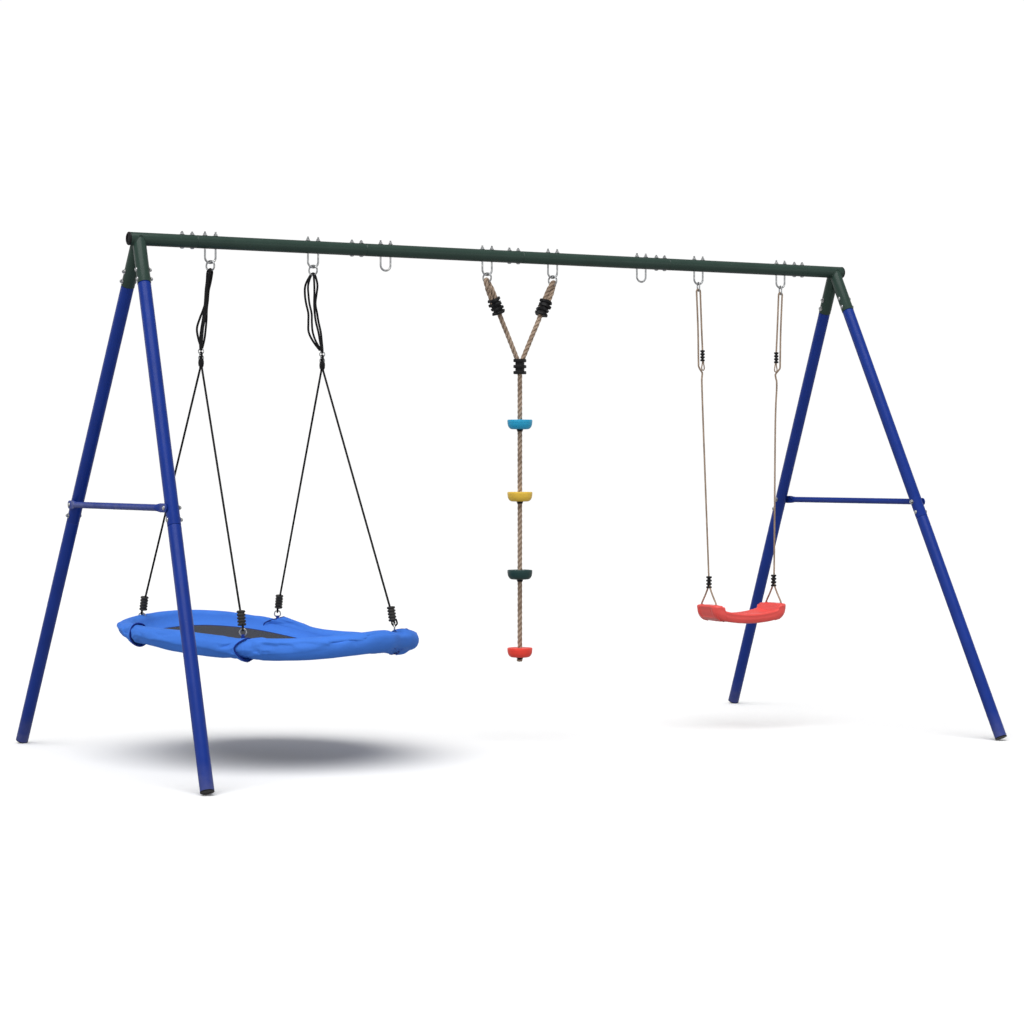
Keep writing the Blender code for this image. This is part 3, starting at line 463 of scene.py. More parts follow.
def rounded(profile, size=0.0008):
    """Cut each inner corner of a profile so that its edge catches light."""
    result = [profile[0]]
    for before, corner, after in zip(profile, profile[1:], profile[2:]):
        here = Vector(corner)
        into = Vector(before) - here
        out = Vector(after) - here
        reach = min(size, into.length * 0.4, out.length * 0.4)
        if reach < 0.00005:
            result.append(corner)
            continue
        start = here + into.normalized() * reach
        end = here + out.normalized() * reach
        middle = (start + end) / 2 * 0.45 + here * 0.55
        result += [tuple(start), tuple(middle), tuple(end)]
    result.append(profile[-1])
    return result


def smooth_route(points, spacing):
    """Points about a spacing apart on a Catmull-Rom curve through the given points."""
    knots = [Vector(point) for point in points]
    ends = [2 * knots[0] - knots[1]] + knots + [2 * knots[-1] - knots[-2]]
    route = []
    for index in range(1, len(ends) - 2):
        before, start, end, after = ends[index - 1:index + 3]
        count = max(1, round((end - start).length / spacing))
        for step in range(count):
            t = step / count
            route.append(0.5 * (2 * start + (end - before) * t
                                + (2 * before - 5 * start + 4 * end - after) * t ** 2
                                + (3 * start - before - 3 * end + after) * t ** 3))
    route.append(knots[-1])
    return route


def route_length(route):
    """Length of a line through points."""
    return sum((end - start).length for start, end in zip(route, route[1:]))


def evened(route, spacing):
    """The same line, cut into even steps."""
    lengths = [(b - a).length for a, b in zip(route, route[1:])]
    total = sum(lengths)
    count = max(2, round(total / spacing))
    result = []
    index = 0
    passed = 0.0
    for step in range(count):
        target = total * step / count
        while passed + lengths[index] < target:
            passed += lengths[index]
            index += 1
        result.append(route[index].lerp(route[index + 1], (target - passed) / lengths[index]))
    result.append(route[-1])
    return result


def frames_along(route, closed=False):
    """Tangent, normal and binormal at each point, carried along without twist."""
    count = len(route)
    frames = []
    normal = None
    for index in range(count):
        if closed:
            tangent = route[(index + 1) % count] - route[index - 1]
        else:
            tangent = route[min(index + 1, count - 1)] - route[max(index - 1, 0)]
        tangent.normalize()
        if normal is None:
            guide = Vector((0.0, 1.0, 0.0)) if abs(tangent.y) < 0.8 else Vector((1.0, 0.0, 0.0))
            normal = tangent.cross(guide).normalized()
        normal = (normal - tangent * normal.dot(tangent)).normalized()
        frames.append((tangent, normal, tangent.cross(normal)))
    return frames


def add_sweep(skin, route, radius, sides=12, closed=False, shape=None):
    """Sweep a round section along a route; shape(distance, angle) gives (scale, strand)."""
    rows = []
    uv_rows = []
    heights = []
    travelled = 0.0
    frames = frames_along(route, closed)
    for index, point in enumerate(route):
        if index:
            travelled += (point - route[index - 1]).length
        tangent, normal, binormal = frames[index]
        ring = []
        row_heights = []
        for side in range(sides):
            angle = 2 * math.pi * side / sides
            scale, strand = shape(travelled, angle) if shape else (1.0, 1.0)
            ring.append(point + (normal * math.cos(angle) + binormal * math.sin(angle))
                        * radius * scale)
            row_heights.append(strand)
        rows.append(ring)
        heights.append(row_heights)
        uv_rows.append(ring_uvs(sides, travelled))
    if closed:
        travelled += (route[0] - route[-1]).length
        uv_rows.append(ring_uvs(sides, travelled))
    skin.add_rows(rows, uv_rows, heights, loop_rows=closed)


def twisted(pitch, strands=3, depth=0.24):
    """Section of a laid rope whose strands turn once per pitch."""
    def shape(distance, angle):
        lobe = abs(math.cos(strands / 2 * (angle - 2 * math.pi * distance / pitch)))
        return 1.0 - depth + depth * lobe ** 0.6, lobe
    return shape


def braided(pitch, strands=4, depth=0.10):
    """Section of a plaited rope: bumps where its strands cross over."""
    def shape(distance, angle):
        turn = 2 * math.pi * distance / pitch
        over = math.sin(strands * angle + turn) * math.sin(strands * angle - turn)
        height = 0.5 + 0.5 * over
        return 1.0 - depth + depth * height, height
    return shape


def show_sweep(name, route, radius, sides, material, body, *replaced, closed=False,
               shape=None):
    """Make a piece that is one swept line."""
    skin = Skin()
    add_sweep(skin, route, radius, sides, closed, shape)
    return show(name, skin, material, body, *replaced)


def show_turned(name, place, profile, sides, material, body, *replaced):
    """Make a piece that is one turned profile."""
    skin = Skin()
    add_turned(skin, place, profile, sides)
    return show(name, skin, material, body, *replaced)


def wire_ring(name, centre, across, radius, wire, body, *replaced, tall=0.0):
    """Welded wire ring, or a long link when tall is set, standing up along across."""
    across = Vector(across).normalized()
    steps = 56
    route = []
    for step in range(steps):
        angle = 2 * math.pi * (step + 0.5) / steps
        lift = tall if math.sin(angle) > 0 else -tall
        route.append(Vector(centre) + across * radius * math.cos(angle)
                     + UP * (radius * math.sin(angle) + lift))
    route = evened(route + [route[0]], 2 * math.pi * radius / steps)[:-1]
    length = route_length(route)

    def weld(distance, angle):
        bead = math.exp(-((distance - 0.13 * length) / (0.6 * wire)) ** 2)
        return 1.0 + 0.16 * bead, 1.0

    return show_sweep(name, route, wire, 14, ZINC, body, *replaced, closed=True, shape=weld)


# ---------------------------------------------------------------- fasteners
def add_nut(skin, place, across=0.0075, height=0.0065):
    """Hexagon nut with chamfered corners."""
    profile = [(0.0, 0.0), (0.0, across * 0.90), (0.0007, across),
               (height - 0.0007, across), (height, across * 0.90), (height, 0.0)]
    add_turned(skin, place, profile, 6)


def add_washer(skin, place, radius=0.0100):
    """Flat washer."""
    add_turned(skin, place, rounded([(0.0, 0.0), (0.0, radius), (0.0015, radius),
                                     (0.0015, 0.0)], 0.0003), 28)


def add_thread(skin, place, radius, length, pitch=0.00125):
    """Threaded bolt end."""
    count = max(6, round(length / (pitch / 4)))
    profile = [(0.0, 0.0)]
    for step in range(count + 1):
        height = length * step / count
        crest = 1.0 if step % 4 < 2 else 0.88
        profile.append((height, radius * (crest if step < count - 2 else 0.84)))
    profile.append((length, 0.0))
    add_turned(skin, place, profile, 18)


def add_dome(skin, place, radius=0.0085, height=0.0048):
    """Mushroom head of a carriage bolt."""
    profile = [(0.0, 0.0), (0.0, radius)]
    for step in range(1, 8):
        angle = math.pi / 2 * step / 8
        profile.append((height * math.sin(angle), radius * math.cos(angle) ** 0.8))
    profile.append((height, 0.0))
    add_turned(skin, place, profile, 28)


def make_bolt(name, centre, axis, head_reach, nut_reach, spare=0.0025):
    """Carriage bolt through a tube: domed head at -axis, washer and nut at +axis."""
    axis = Vector(axis).normalized()
    centre = Vector(centre)
    skin = Skin()
    add_dome(skin, along(centre - axis * head_reach, -axis))
    add_washer(skin, along(centre + axis * nut_reach, axis))
    add_nut(skin, along(centre + axis * (nut_reach + 0.0015), axis))
    add_thread(skin, along(centre + axis * (nut_reach + 0.008), axis), 0.0040, spare)
    add_turned(skin, along(centre - axis * head_reach, axis),
               [(-0.0005, 0.0), (-0.0005, 0.004), (head_reach + nut_reach, 0.004),
                (head_reach + nut_reach + 0.001, 0.0)], 16)
    return show(name, skin, ZINC, "frame", sharp=30.0)


# ---------------------------------------------------------------- A-frame
def leg_axis(side_x, side_y):
    """Apex, foot and unit vector up the leg."""
    apex = Vector((side_x * APEX_X, 0.0, BEAM_Z))
    foot = Vector((side_x * FOOT_X, side_y * FOOT_Y, FOOT_Z))
    return apex, foot, (apex - foot).normalized()


def at_height(foot, up, height):
    """Point of a leg's axis at a height."""
    return foot + up * ((height - foot.z) / up.z)


def make_leg(label, side_x, side_y):
    """The two tubes, foot cap and bolts of one leg."""
    _, foot, up = leg_axis(side_x, side_y)
    seam = at_height(foot, up, LEG_SEAM_Z)
    socket = at_height(foot, up, SOCKET_END_Z)
    lower = (seam - foot).length
    lower_profile = [(0.004, 0.0), (0.004, SPIGOT_R), (0.0035, TUBE_R), (lower - 0.0042, TUBE_R),
                     (lower - 0.0003, SPIGOT_R), (lower + 0.03, SPIGOT_R), (lower + 0.03, 0.0)]
    show_turned(f"lower_tube_{label}", along(foot, up), rounded(lower_profile, 0.0010), 48, BLUE,
                "frame", f"lower_leg_{label}")
    upper = (socket - seam).length
    upper_profile = [(0.004, 0.0), (0.004, TUBE_BORE_R), (0.0003, TUBE_BORE_R), (0.0003, TUBE_R),
                     (upper - 0.0042, TUBE_R), (upper - 0.0005, SPIGOT_R),
                     (upper + 0.03, SPIGOT_R), (upper + 0.03, 0.0)]
    show_turned(f"upper_tube_{label}", along(seam, up), rounded(upper_profile, 0.0006), 48, BLUE,
                "frame", f"upper_leg_{label}")
    plug_profile = [(-0.014, 0.0), (-0.014, SPIGOT_R), (-0.0031, SPIGOT_R),
                    (-0.0031, TUBE_R + 0.0004), (-0.0005, TUBE_R + 0.0002),
                    (0.0, TUBE_R - 0.0010), (0.0, 0.014), (-0.0010, 0.013), (-0.0010, 0.0)]
    show_turned(f"foot_plug_{label}", along(foot, -up), rounded(plug_profile, 0.0004), 48, BLACK,
                "frame", f"foot_cap_{label}")
    head = Vector((side_y, 0.0, 0.0))
    for number, height in enumerate(LEG_BOLT_Z, start=1):
        reach = SOCKET_R if height > SOCKET_END_Z else TUBE_R
        make_bolt(f"leg_bolt_{label}_{number}", at_height(foot, up, height), -head,
                  reach - 0.0004, reach - 0.0002)
    outer = Vector((-side_x, 0.0, 0.0))
    low = at_height(foot, up, CROSSBAR_Z)
    make_bolt(f"crossbar_bolt_{label}", low, outer, TUBE_R + 0.0076, TUBE_R - 0.0002)


def weld_line(apex, down, radius):
    """Closed line where a leg socket meets the beam's underside."""
    beam = Vector((1.0, 0.0, 0.0))
    side = down.cross(beam).normalized()
    front = side.cross(down).normalized()
    line = []
    steps = 64
    for step in range(steps):
        angle = 2 * math.pi * step / steps
        offset = (front * math.cos(angle) + side * math.sin(angle)) * radius
        a = down.y ** 2 + down.z ** 2
        b = 2 * (offset.y * down.y + offset.z * down.z)
        c = offset.y ** 2 + offset.z ** 2 - TUBE_R ** 2
        reach = (-b + math.sqrt(max(0.0, b * b - 4 * a * c))) / (2 * a)
        line.append(apex + offset + down * reach)
    return line


def make_connector(label, side_x):
    """End fitting: beam stub, two sockets and their weld beads."""
    inner = SEAMS[0] if side_x < 0 else SEAMS[-1]
    low, high = sorted((side_x * BEAM_END_X, inner))
    skin = Skin()
    add_turned(skin, along((low, 0.0, BEAM_Z), (1, 0, 0)), rounded(
        [(0.003, 0.0), (0.003, TUBE_BORE_R), (0.0, TUBE_BORE_R), (0.0, TUBE_R),
         (high - low - 0.0003, TUBE_R), (high - low - 0.0003, TUBE_BORE_R),
         (high - low - 0.004, TUBE_BORE_R), (high - low - 0.004, 0.0)], 0.0006), 56)
    for side_y in (-1, 1):
        apex, foot, up = leg_axis(side_x, side_y)
        length = (at_height(foot, up, SOCKET_END_Z) - apex).length
        add_turned(skin, along(apex, -up), rounded(
            [(0.006, 0.0), (0.006, SOCKET_R), (length, SOCKET_R), (length, SOCKET_R - 0.002),
             (length - 0.006, SOCKET_R - 0.002), (length - 0.006, 0.0)], 0.0006), 56)

        def ripple(distance, angle):
            return 1.0 + 0.18 * math.sin(2 * math.pi * distance / 0.0032), 1.0

        add_sweep(skin, evened(weld_line(apex, -up, SOCKET_R), 0.0012), 0.0022, 8,
                  shape=ripple)
    show(f"end_fitting_{label}", skin, GREEN, "frame", f"end_connector_{label}")
    lip = TUBE_R + 0.0005
    profile = [(-0.010, 0.0), (-0.010, SPIGOT_R), (0.0003, SPIGOT_R), (0.0003, lip),
               (0.0030, lip)]
    for step in range(1, 9):
        angle = math.pi / 2 * step / 9
        profile.append((0.0030 + 0.0060 * math.sin(angle), lip * math.cos(angle) ** 0.55))
    profile = profile[:-2] + [(0.0088, 0.0165), (0.0040, 0.0155), (0.0036, 0.0)]
    show_turned(f"beam_plug_{label}", along((side_x * BEAM_END_X, 0.0, BEAM_Z), (side_x, 0, 0)),
                profile, 48, BLACK, "frame", f"beam_cap_{label}")


def make_beam():
    """Four beam sections and the bolts that join them."""
    for index, (start, end) in enumerate(zip(SEAMS, SEAMS[1:]), start=1):
        length = end - start
        profile = [(-0.02, 0.0), (-0.02, SPIGOT_R), (0.0, SPIGOT_R), (0.004, TUBE_R),
                   (length - 0.0003, TUBE_R), (length - 0.0003, TUBE_BORE_R),
                   (length - 0.004, TUBE_BORE_R), (length - 0.004, 0.0)]
        show_turned(f"beam_section_{index}", along((start, 0.0, BEAM_Z), (1, 0, 0)),
                    rounded(profile), 56, GREEN, "frame", f"beam_tube_{index}")
    for number, joint in enumerate(BEAM_JOINTS, start=1):
        for end, offset in (("a", -0.0207), ("b", 0.0207)):
            make_bolt(f"beam_bolt_{number}{end}", (joint + offset, 0.0, BEAM_Z), (0, 0, 1),
                      TUBE_R - 0.0003, TUBE_R - 0.0001, 0.0048)


def make_crossbar(label, side_x):
    """Tie tube whose ends are pressed flat and rounded."""
    _, foot, up = leg_axis(side_x, 1)
    leg = at_height(foot, up, CROSSBAR_Z)
    low = at_height(foot, up, CROSSBAR_Z - 0.0178)
    x = side_x * (abs(low.x) + TUBE_R + BAR_FLAT_DEPTH + 0.0009)
    end = leg.y + 0.021
    half = []
    for step in range(7):
        half.append(end - BAR_TIP * (1 - math.cos(math.pi / 2 * step / 6)))
    half += [leg.y - 0.034] + [leg.y - 0.034 - 0.042 * step / 7 for step in range(1, 8)]
    stations = [-y for y in half] + [-0.2, 0.0, 0.2] + half[::-1]
    rows = []
    uv_rows = []
    for y in stations:
        flat = smooth_step(abs(y), leg.y - 0.076, leg.y - 0.034)
        depth = BAR_R + flat * (BAR_FLAT_DEPTH - BAR_R)
        width = BAR_R + flat * (BAR_FLAT_WIDTH - BAR_R)
        tip = min(1.0, max(0.0, (abs(y) - (end - BAR_TIP)) / BAR_TIP))
        width *= math.sqrt(max(0.004, 1 - tip * tip))
        depth *= 1 - 0.5 * tip ** 6
        power = 1.0 - 0.45 * flat
        ring = []
        for side in range(40):
            angle = 2 * math.pi * side / 40
            ring.append(Vector((
                x + depth * math.copysign(abs(math.cos(angle)) ** power, math.cos(angle)),
                y, CROSSBAR_Z + width * math.sin(angle))))
        rows.append(ring)
        uv_rows.append(ring_uvs(40, y))
    skin = Skin()
    skin.add_rows(rows, uv_rows)
    show(f"crossbar_tube_{label}", skin, BLUE, "frame", f"crossbar_{label}")


def make_hanger(label, x):
    """U-bolt with threads, washers and nuts above the beam."""
    arc_z = HANGER_Z + HANGER_HALF
    top = BEAM_Z + TUBE_R
    route = [Vector((x - HANGER_HALF, 0.0, top + 0.004)), Vector((x - HANGER_HALF, 0.0, arc_z))]
    for step in range(1, 24):
        angle = math.pi * (1 + step / 24)
        route.append(Vector((x + HANGER_HALF * math.cos(angle), 0.0,
                             arc_z + HANGER_HALF * math.sin(angle))))
    route += [Vector((x + HANGER_HALF, 0.0, arc_z)), Vector((x + HANGER_HALF, 0.0, top + 0.004))]
    skin = Skin()
    add_sweep(skin, route, HANGER_WIRE, 16)
    for offset in (-HANGER_HALF, HANGER_HALF):
        foot = Vector((x + offset, 0.0, top))
        add_washer(skin, along(foot + UP * 0.0003, UP))
        add_nut(skin, along(foot + UP * 0.0018, UP))
        add_thread(skin, along(foot + UP * 0.0083, UP), HANGER_WIRE, 0.0077)
    show(f"u_bolt_{label}", skin, ZINC, "frame", f"hanger_{label}", sharp=30.0)


# ---------------------------------------------------------------- clamps and ferrules
def make_ribbed(name, centre, axis, length, ribs, rib, core, material, body, *replaced,
                squash=1.0, duty=0.55, lobes=None, turn=0.0):
    """Stack of round ribs on a core, as on rope clamps and ferrules."""
    axis = Vector(axis).normalized()
    pitch = length / (ribs - 1 + duty)
    profile = [(-length / 2, 0.0)]
    for index in range(ribs):
        start = -length / 2 + index * pitch
        end = start + duty * pitch
        edge = 0.16 * duty * pitch
        profile += [(start, core), (start, rib - edge), (start + edge, rib), (end - edge, rib),
                    (end, rib - edge), (end, core)]
    profile.append((length / 2, 0.0))
    skin = Skin()
    place = along(Vector(centre), axis) @ Matrix.Rotation(math.radians(turn), 4, "Z")
    add_turned(skin, place, profile, 44, squash, lobes)
    return show(name, skin, material, body, *replaced, sharp=32.0)


# ---------------------------------------------------------------- climbing rope
def make_climb_arm(side, side_x):
    """One arm: up from the big clamp, through its ring and back to its own clamp."""
    wire = Vector((HANGERS[f"climb_{side}"], 0.0, RING_Z - 2 * CLIMB_RING_R))
    foot = Vector((CLIMB_X + side_x * 0.0118, 0.0, 1.566))
    up = (wire - foot).normalized()
    swing = Vector((0.866 * side_x, 0.5 * side_x, 0.0))
    swing = (swing - up * swing.dot(up)).normalized()
    side_way = up.cross(swing)
    clamp = foot + up * 0.236
    reach = (wire - clamp).length

    def strand(share, sign):
        """Point of one of the two twisted runs between the ring and the clamp."""
        turn = math.radians(-60) * smooth_step(share, 0.0, 0.30)
        offset = swing * math.cos(turn) + side_way * math.sin(turn)
        apart = 0.0112 - 0.0025 * smooth_step(share, 0.0, 0.25)
        return wire - up * (0.012 + (reach - 0.012) * share) + offset * sign * apart

    steps = [step / 8 for step in range(9)]
    route = smooth_route([foot, foot + up * 0.10, clamp - up * 0.035]
                         + [strand(share, -1) for share in reversed(steps)], 0.008)
    for step in range(1, 12):
        angle = math.pi * (1 - step / 12)
        route.append(wire - up * 0.012 + swing * 0.0112 * math.cos(angle)
                     + up * 0.0245 * math.sin(angle))
    route += smooth_route([strand(share, 1) for share in steps] + [clamp - up * 0.012], 0.008)
    route = evened(route, 0.0030)
    rope = show_sweep(f"climb_arm_rope_{side}", route, CLIMB_ROPE_R, 24, BEIGE_ROPE,
                      "climb_upper", f"climb_arm_{side}", shape=twisted(CLIMB_PITCH))

    def knuckles(angle, height):
        return 1.0 + 0.09 * math.cos(3 * angle + 130.0 * height) + 0.05 * math.cos(5 * angle)

    ribs = make_ribbed(f"climb_arm_clamp_{side}", clamp + up * 0.002, up, 0.066, 4, 0.0290,
                       0.0215, BLACK, "climb_upper", squash=0.80, duty=0.58, lobes=knuckles,
                       turn=20.0)


def make_disc(colour, top_z):
    """Foot disc with a ringed tread, a rolled rim and its stop underneath."""
    rim = 0.0515
    profile = [(-0.020, 0.0098), (0.0, 0.0098), (0.0, 0.0150)]
    for radius in (0.0190, 0.0250, 0.0310, 0.0370):
        profile += [(0.0, radius - 0.0012), (-0.0012, radius - 0.0006), (-0.0012, radius + 0.0006),
                    (0.0, radius + 0.0012)]
    for step in range(7):
        angle = math.pi / 2 * step / 6
        profile.append((-0.0035 + 0.0035 * math.cos(angle),
                        rim - 0.0035 + 0.0035 * math.sin(angle)))
    profile += [(-0.011, rim), (-0.0115, rim - 0.0006)]
    for step in range(1, 11):
        angle = math.pi / 2 * step / 10
        profile.append((-0.0115 - 0.0280 * math.sin(angle),
                        0.0290 + (rim - 0.0296) * math.cos(angle) ** 0.85))
    profile += [(-0.0395, 0.0098), (-0.020, 0.0098)]
    rows = []
    uv_rows = []
    for index, (height, radius) in enumerate(profile):
        ring = []
        for side in range(72):
            angle = 2 * math.pi * side / 72
            ring.append(Vector((CLIMB_X + radius * math.cos(angle), radius * math.sin(angle),
                                top_z + height)))
        rows.append(ring)
        uv_rows.append(ring_uvs(72, index * 0.004))
    skin = Skin()
    skin.add_rows(rows, uv_rows, caps=False)
    show(f"foot_disc_{colour}", skin, DISC_PAINT[colour], "climb_lower", f"climb_disc_{colour}",
         sharp=30.0)
    stop_profile = [(0.0, 0.0), (0.0, 0.0135), (-0.0035, 0.0135), (-0.0042, 0.0115),
                    (-0.0085, 0.0115), (-0.0085, 0.0)]
    return show_turned(f"disc_stop_{colour}", Matrix.Translation((CLIMB_X, 0.0, top_z - 0.0398)),
                       rounded(stop_profile), 36, BLACK, "climb_lower")


def make_climb_rope():
    """Main rope, its discs and the knot that ends it."""
    top = Vector((CLIMB_X, 0.0, 1.524))
    end = Vector((CLIMB_X, 0.0, 0.340))
    route = evened([top, end], 0.0030)
    rope = show_sweep("climb_main_rope", route, CLIMB_ROPE_R, 24, BEIGE_ROPE, "climb_lower",
                      "climb_rope", shape=twisted(CLIMB_PITCH))
    stops = [make_disc(colour, top_z) for colour, top_z in DISCS.items()]
    knot_route = []
    for step in range(96):
        t = 2 * math.pi * step / 96
        knot_route.append(Vector((CLIMB_X + 0.0030 * (math.sin(t) + 2 * math.sin(2 * t)),
                                  0.0030 * (math.cos(t) - 2 * math.cos(2 * t)),
                                  0.3345 - 0.0026 * math.sin(3 * t))))
    knot = show_sweep("climb_end_knot", knot_route, 0.0046, 14, BEIGE_ROPE, "climb_lower",
                      closed=True, shape=twisted(0.022))


def make_climbing_rope():
    """Rings, arms, big clamp, main rope and discs."""
    for side, side_x in (("left", -1), ("right", 1)):
        wire_ring(f"climb_wire_ring_{side}", (HANGERS[f"climb_{side}"], 0.0, RING_Z - CLIMB_RING_R),
                  (0.5, -0.866, 0.0), CLIMB_RING_R, 0.0035, "climb_upper",
                  f"climb_ring_{side}")
        make_climb_arm(side, side_x)

    def pinched(angle, height):
        return 1.0 + 0.06 * math.cos(4 * angle)

    make_ribbed("climb_big_clamp", (CLIMB_X, 0.0, 1.5385), (0, 0, 1), 0.062, 3, 0.0280, 0.0195,
                BLACK, "climb_upper", "climb_clamp", squash=0.72, duty=0.52, lobes=pinched)
    make_climb_rope()


# ---------------------------------------------------------------- seat swing
def make_seat_rope(side, lean):
    """Rope from the seat clamp over its link, with the adjusting sleeve and eye."""
    x = HANGERS[f"seat_{side}"]
    clamp_x = SEAT_X - lean * SEAT_HOLE_X
    crown = 1.8856
    arc_z = crown - SEAT_LOOP_R
    route = smooth_route([(clamp_x, 0.0, SEAT_TILT_Z + 0.004),
                          (clamp_x - lean * 0.003, 0.0, 0.700),
                          (x + lean * 0.026, 0.0, 1.300),
                          (x + lean * 0.0185, 0.0, 1.480),
                          (x + lean * 0.0210, 0.003, 1.512),
                          (x + lean * 0.0235, 0.004, 1.529),
                          (x + lean * 0.0120, 0.003, 1.543),
                          (x + lean * 0.0020, 0.0, 1.556),
                          (x + lean * 0.0005, 0.0, 1.590),
                          (x - lean * 0.002, 0.0, 1.720),
                          (x - lean * SEAT_LOOP_R, 0.0, arc_z)], 0.012)
    for step in range(1, 10):
        angle = math.pi * (1 - step / 10)
        route.append(Vector((x + lean * SEAT_LOOP_R * math.cos(angle), 0.0,
                             arc_z + SEAT_LOOP_R * math.sin(angle))))
    route += smooth_route([(x + lean * SEAT_LOOP_R, 0.0, arc_z),
                           (x + lean * 0.0165, 0.0, 1.720),
                           (x + lean * 0.0215, 0.0, 1.626),
                           (x + lean * 0.0225, 0.0, 1.583)], 0.012)
    route = evened(route, 0.0022)
    rope = show_sweep(f"swing_rope_{side}", route, SEAT_ROPE_R, 15, BEIGE_ROPE,
                      "seat_hangers", f"seat_rope_{side}", shape=twisted(SEAT_ROPE_PITCH))
    sleeve = make_ribbed(f"adjuster_sleeve_{side}", (x + lean * 0.0215, 0.0, 1.603), (0, 0, 1),
                         0.047, 4, 0.0105, 0.0060, BLACK, "seat_hangers", squash=0.8,
                         duty=0.60)
    eye_x = x + lean * 0.0240
    eye = smooth_route([(eye_x - 0.0022, 0.0, 1.582), (eye_x - 0.0040, 0.0, 1.566),
                        (eye_x - 0.0068, 0.0, 1.552), (eye_x - 0.0048, 0.0, 1.5435),
                        (eye_x, 0.0, 1.5410), (eye_x + 0.0048, 0.0, 1.5435),
                        (eye_x + 0.0068, 0.0, 1.552), (eye_x + 0.0040, 0.0, 1.566),
                        (eye_x + 0.0022, 0.0, 1.582)], 0.0022)
    eye_piece = show_sweep(f"rope_eye_{side}", eye, 0.0028, 12, BEIGE_ROPE, "seat_hangers",
                           shape=twisted(0.016))


def make_bridle(side, lean):
    """Short rope from the clamp to both holes of one seat ear, with the clamp's ribs."""
    x = SEAT_X - lean * SEAT_HOLE_X
    hole = SEAT_HOLE_Y
    half = [(x, -0.0046, SEAT_TILT_Z - 0.004), (x, -0.0062, 0.612), (x, -0.0280, 0.577),
            (x, 0.005 - hole, 0.549), (x, -hole, 0.540), (x, -hole, 0.528)]
    whole = half + [(x, 0.0065 - hole, 0.5175), (x, hole - 0.0065, 0.5175)]
    whole += [(px, -py, pz) for px, py, pz in reversed(half)]
    route = evened(smooth_route(whole, 0.006), 0.0022)
    rope = show_sweep(f"ear_rope_{side}", route, SEAT_ROPE_R, 15, BEIGE_ROPE, "seat_body",
                      f"seat_bridle_{side}", shape=twisted(SEAT_ROPE_PITCH))
    clamp = make_ribbed(f"ear_rope_clamp_{side}", (x, 0.0, 0.633), (0, 0, 1), 0.051, 4, 0.0125,
                        0.0076, BLACK, "seat_body", squash=0.92, duty=0.55)


def seat_top(x, y):
    """Height of the seat's top: a curved, ribbed pan between two stepped ears."""
    ear = 0.72 * smooth_step(abs(x), 0.137, 0.142) + 0.28 * smooth_step(abs(x), 0.150, 0.154)
    pan = 0.495 + 0.018 * (x / 0.14) ** 2 - 0.008 * max(0.0, 1 - (y / 0.07) ** 2)
    tread = max(0.0, 1 - (x / 0.105) ** 6) * max(0.0, 1 - (y / 0.062) ** 6)
    pan += 0.0010 * math.cos(2 * math.pi * x / 0.016) * tread
    crown = 0.537 - 0.003 * (y / 0.08) ** 2
    return pan * (1 - ear) + crown * ear


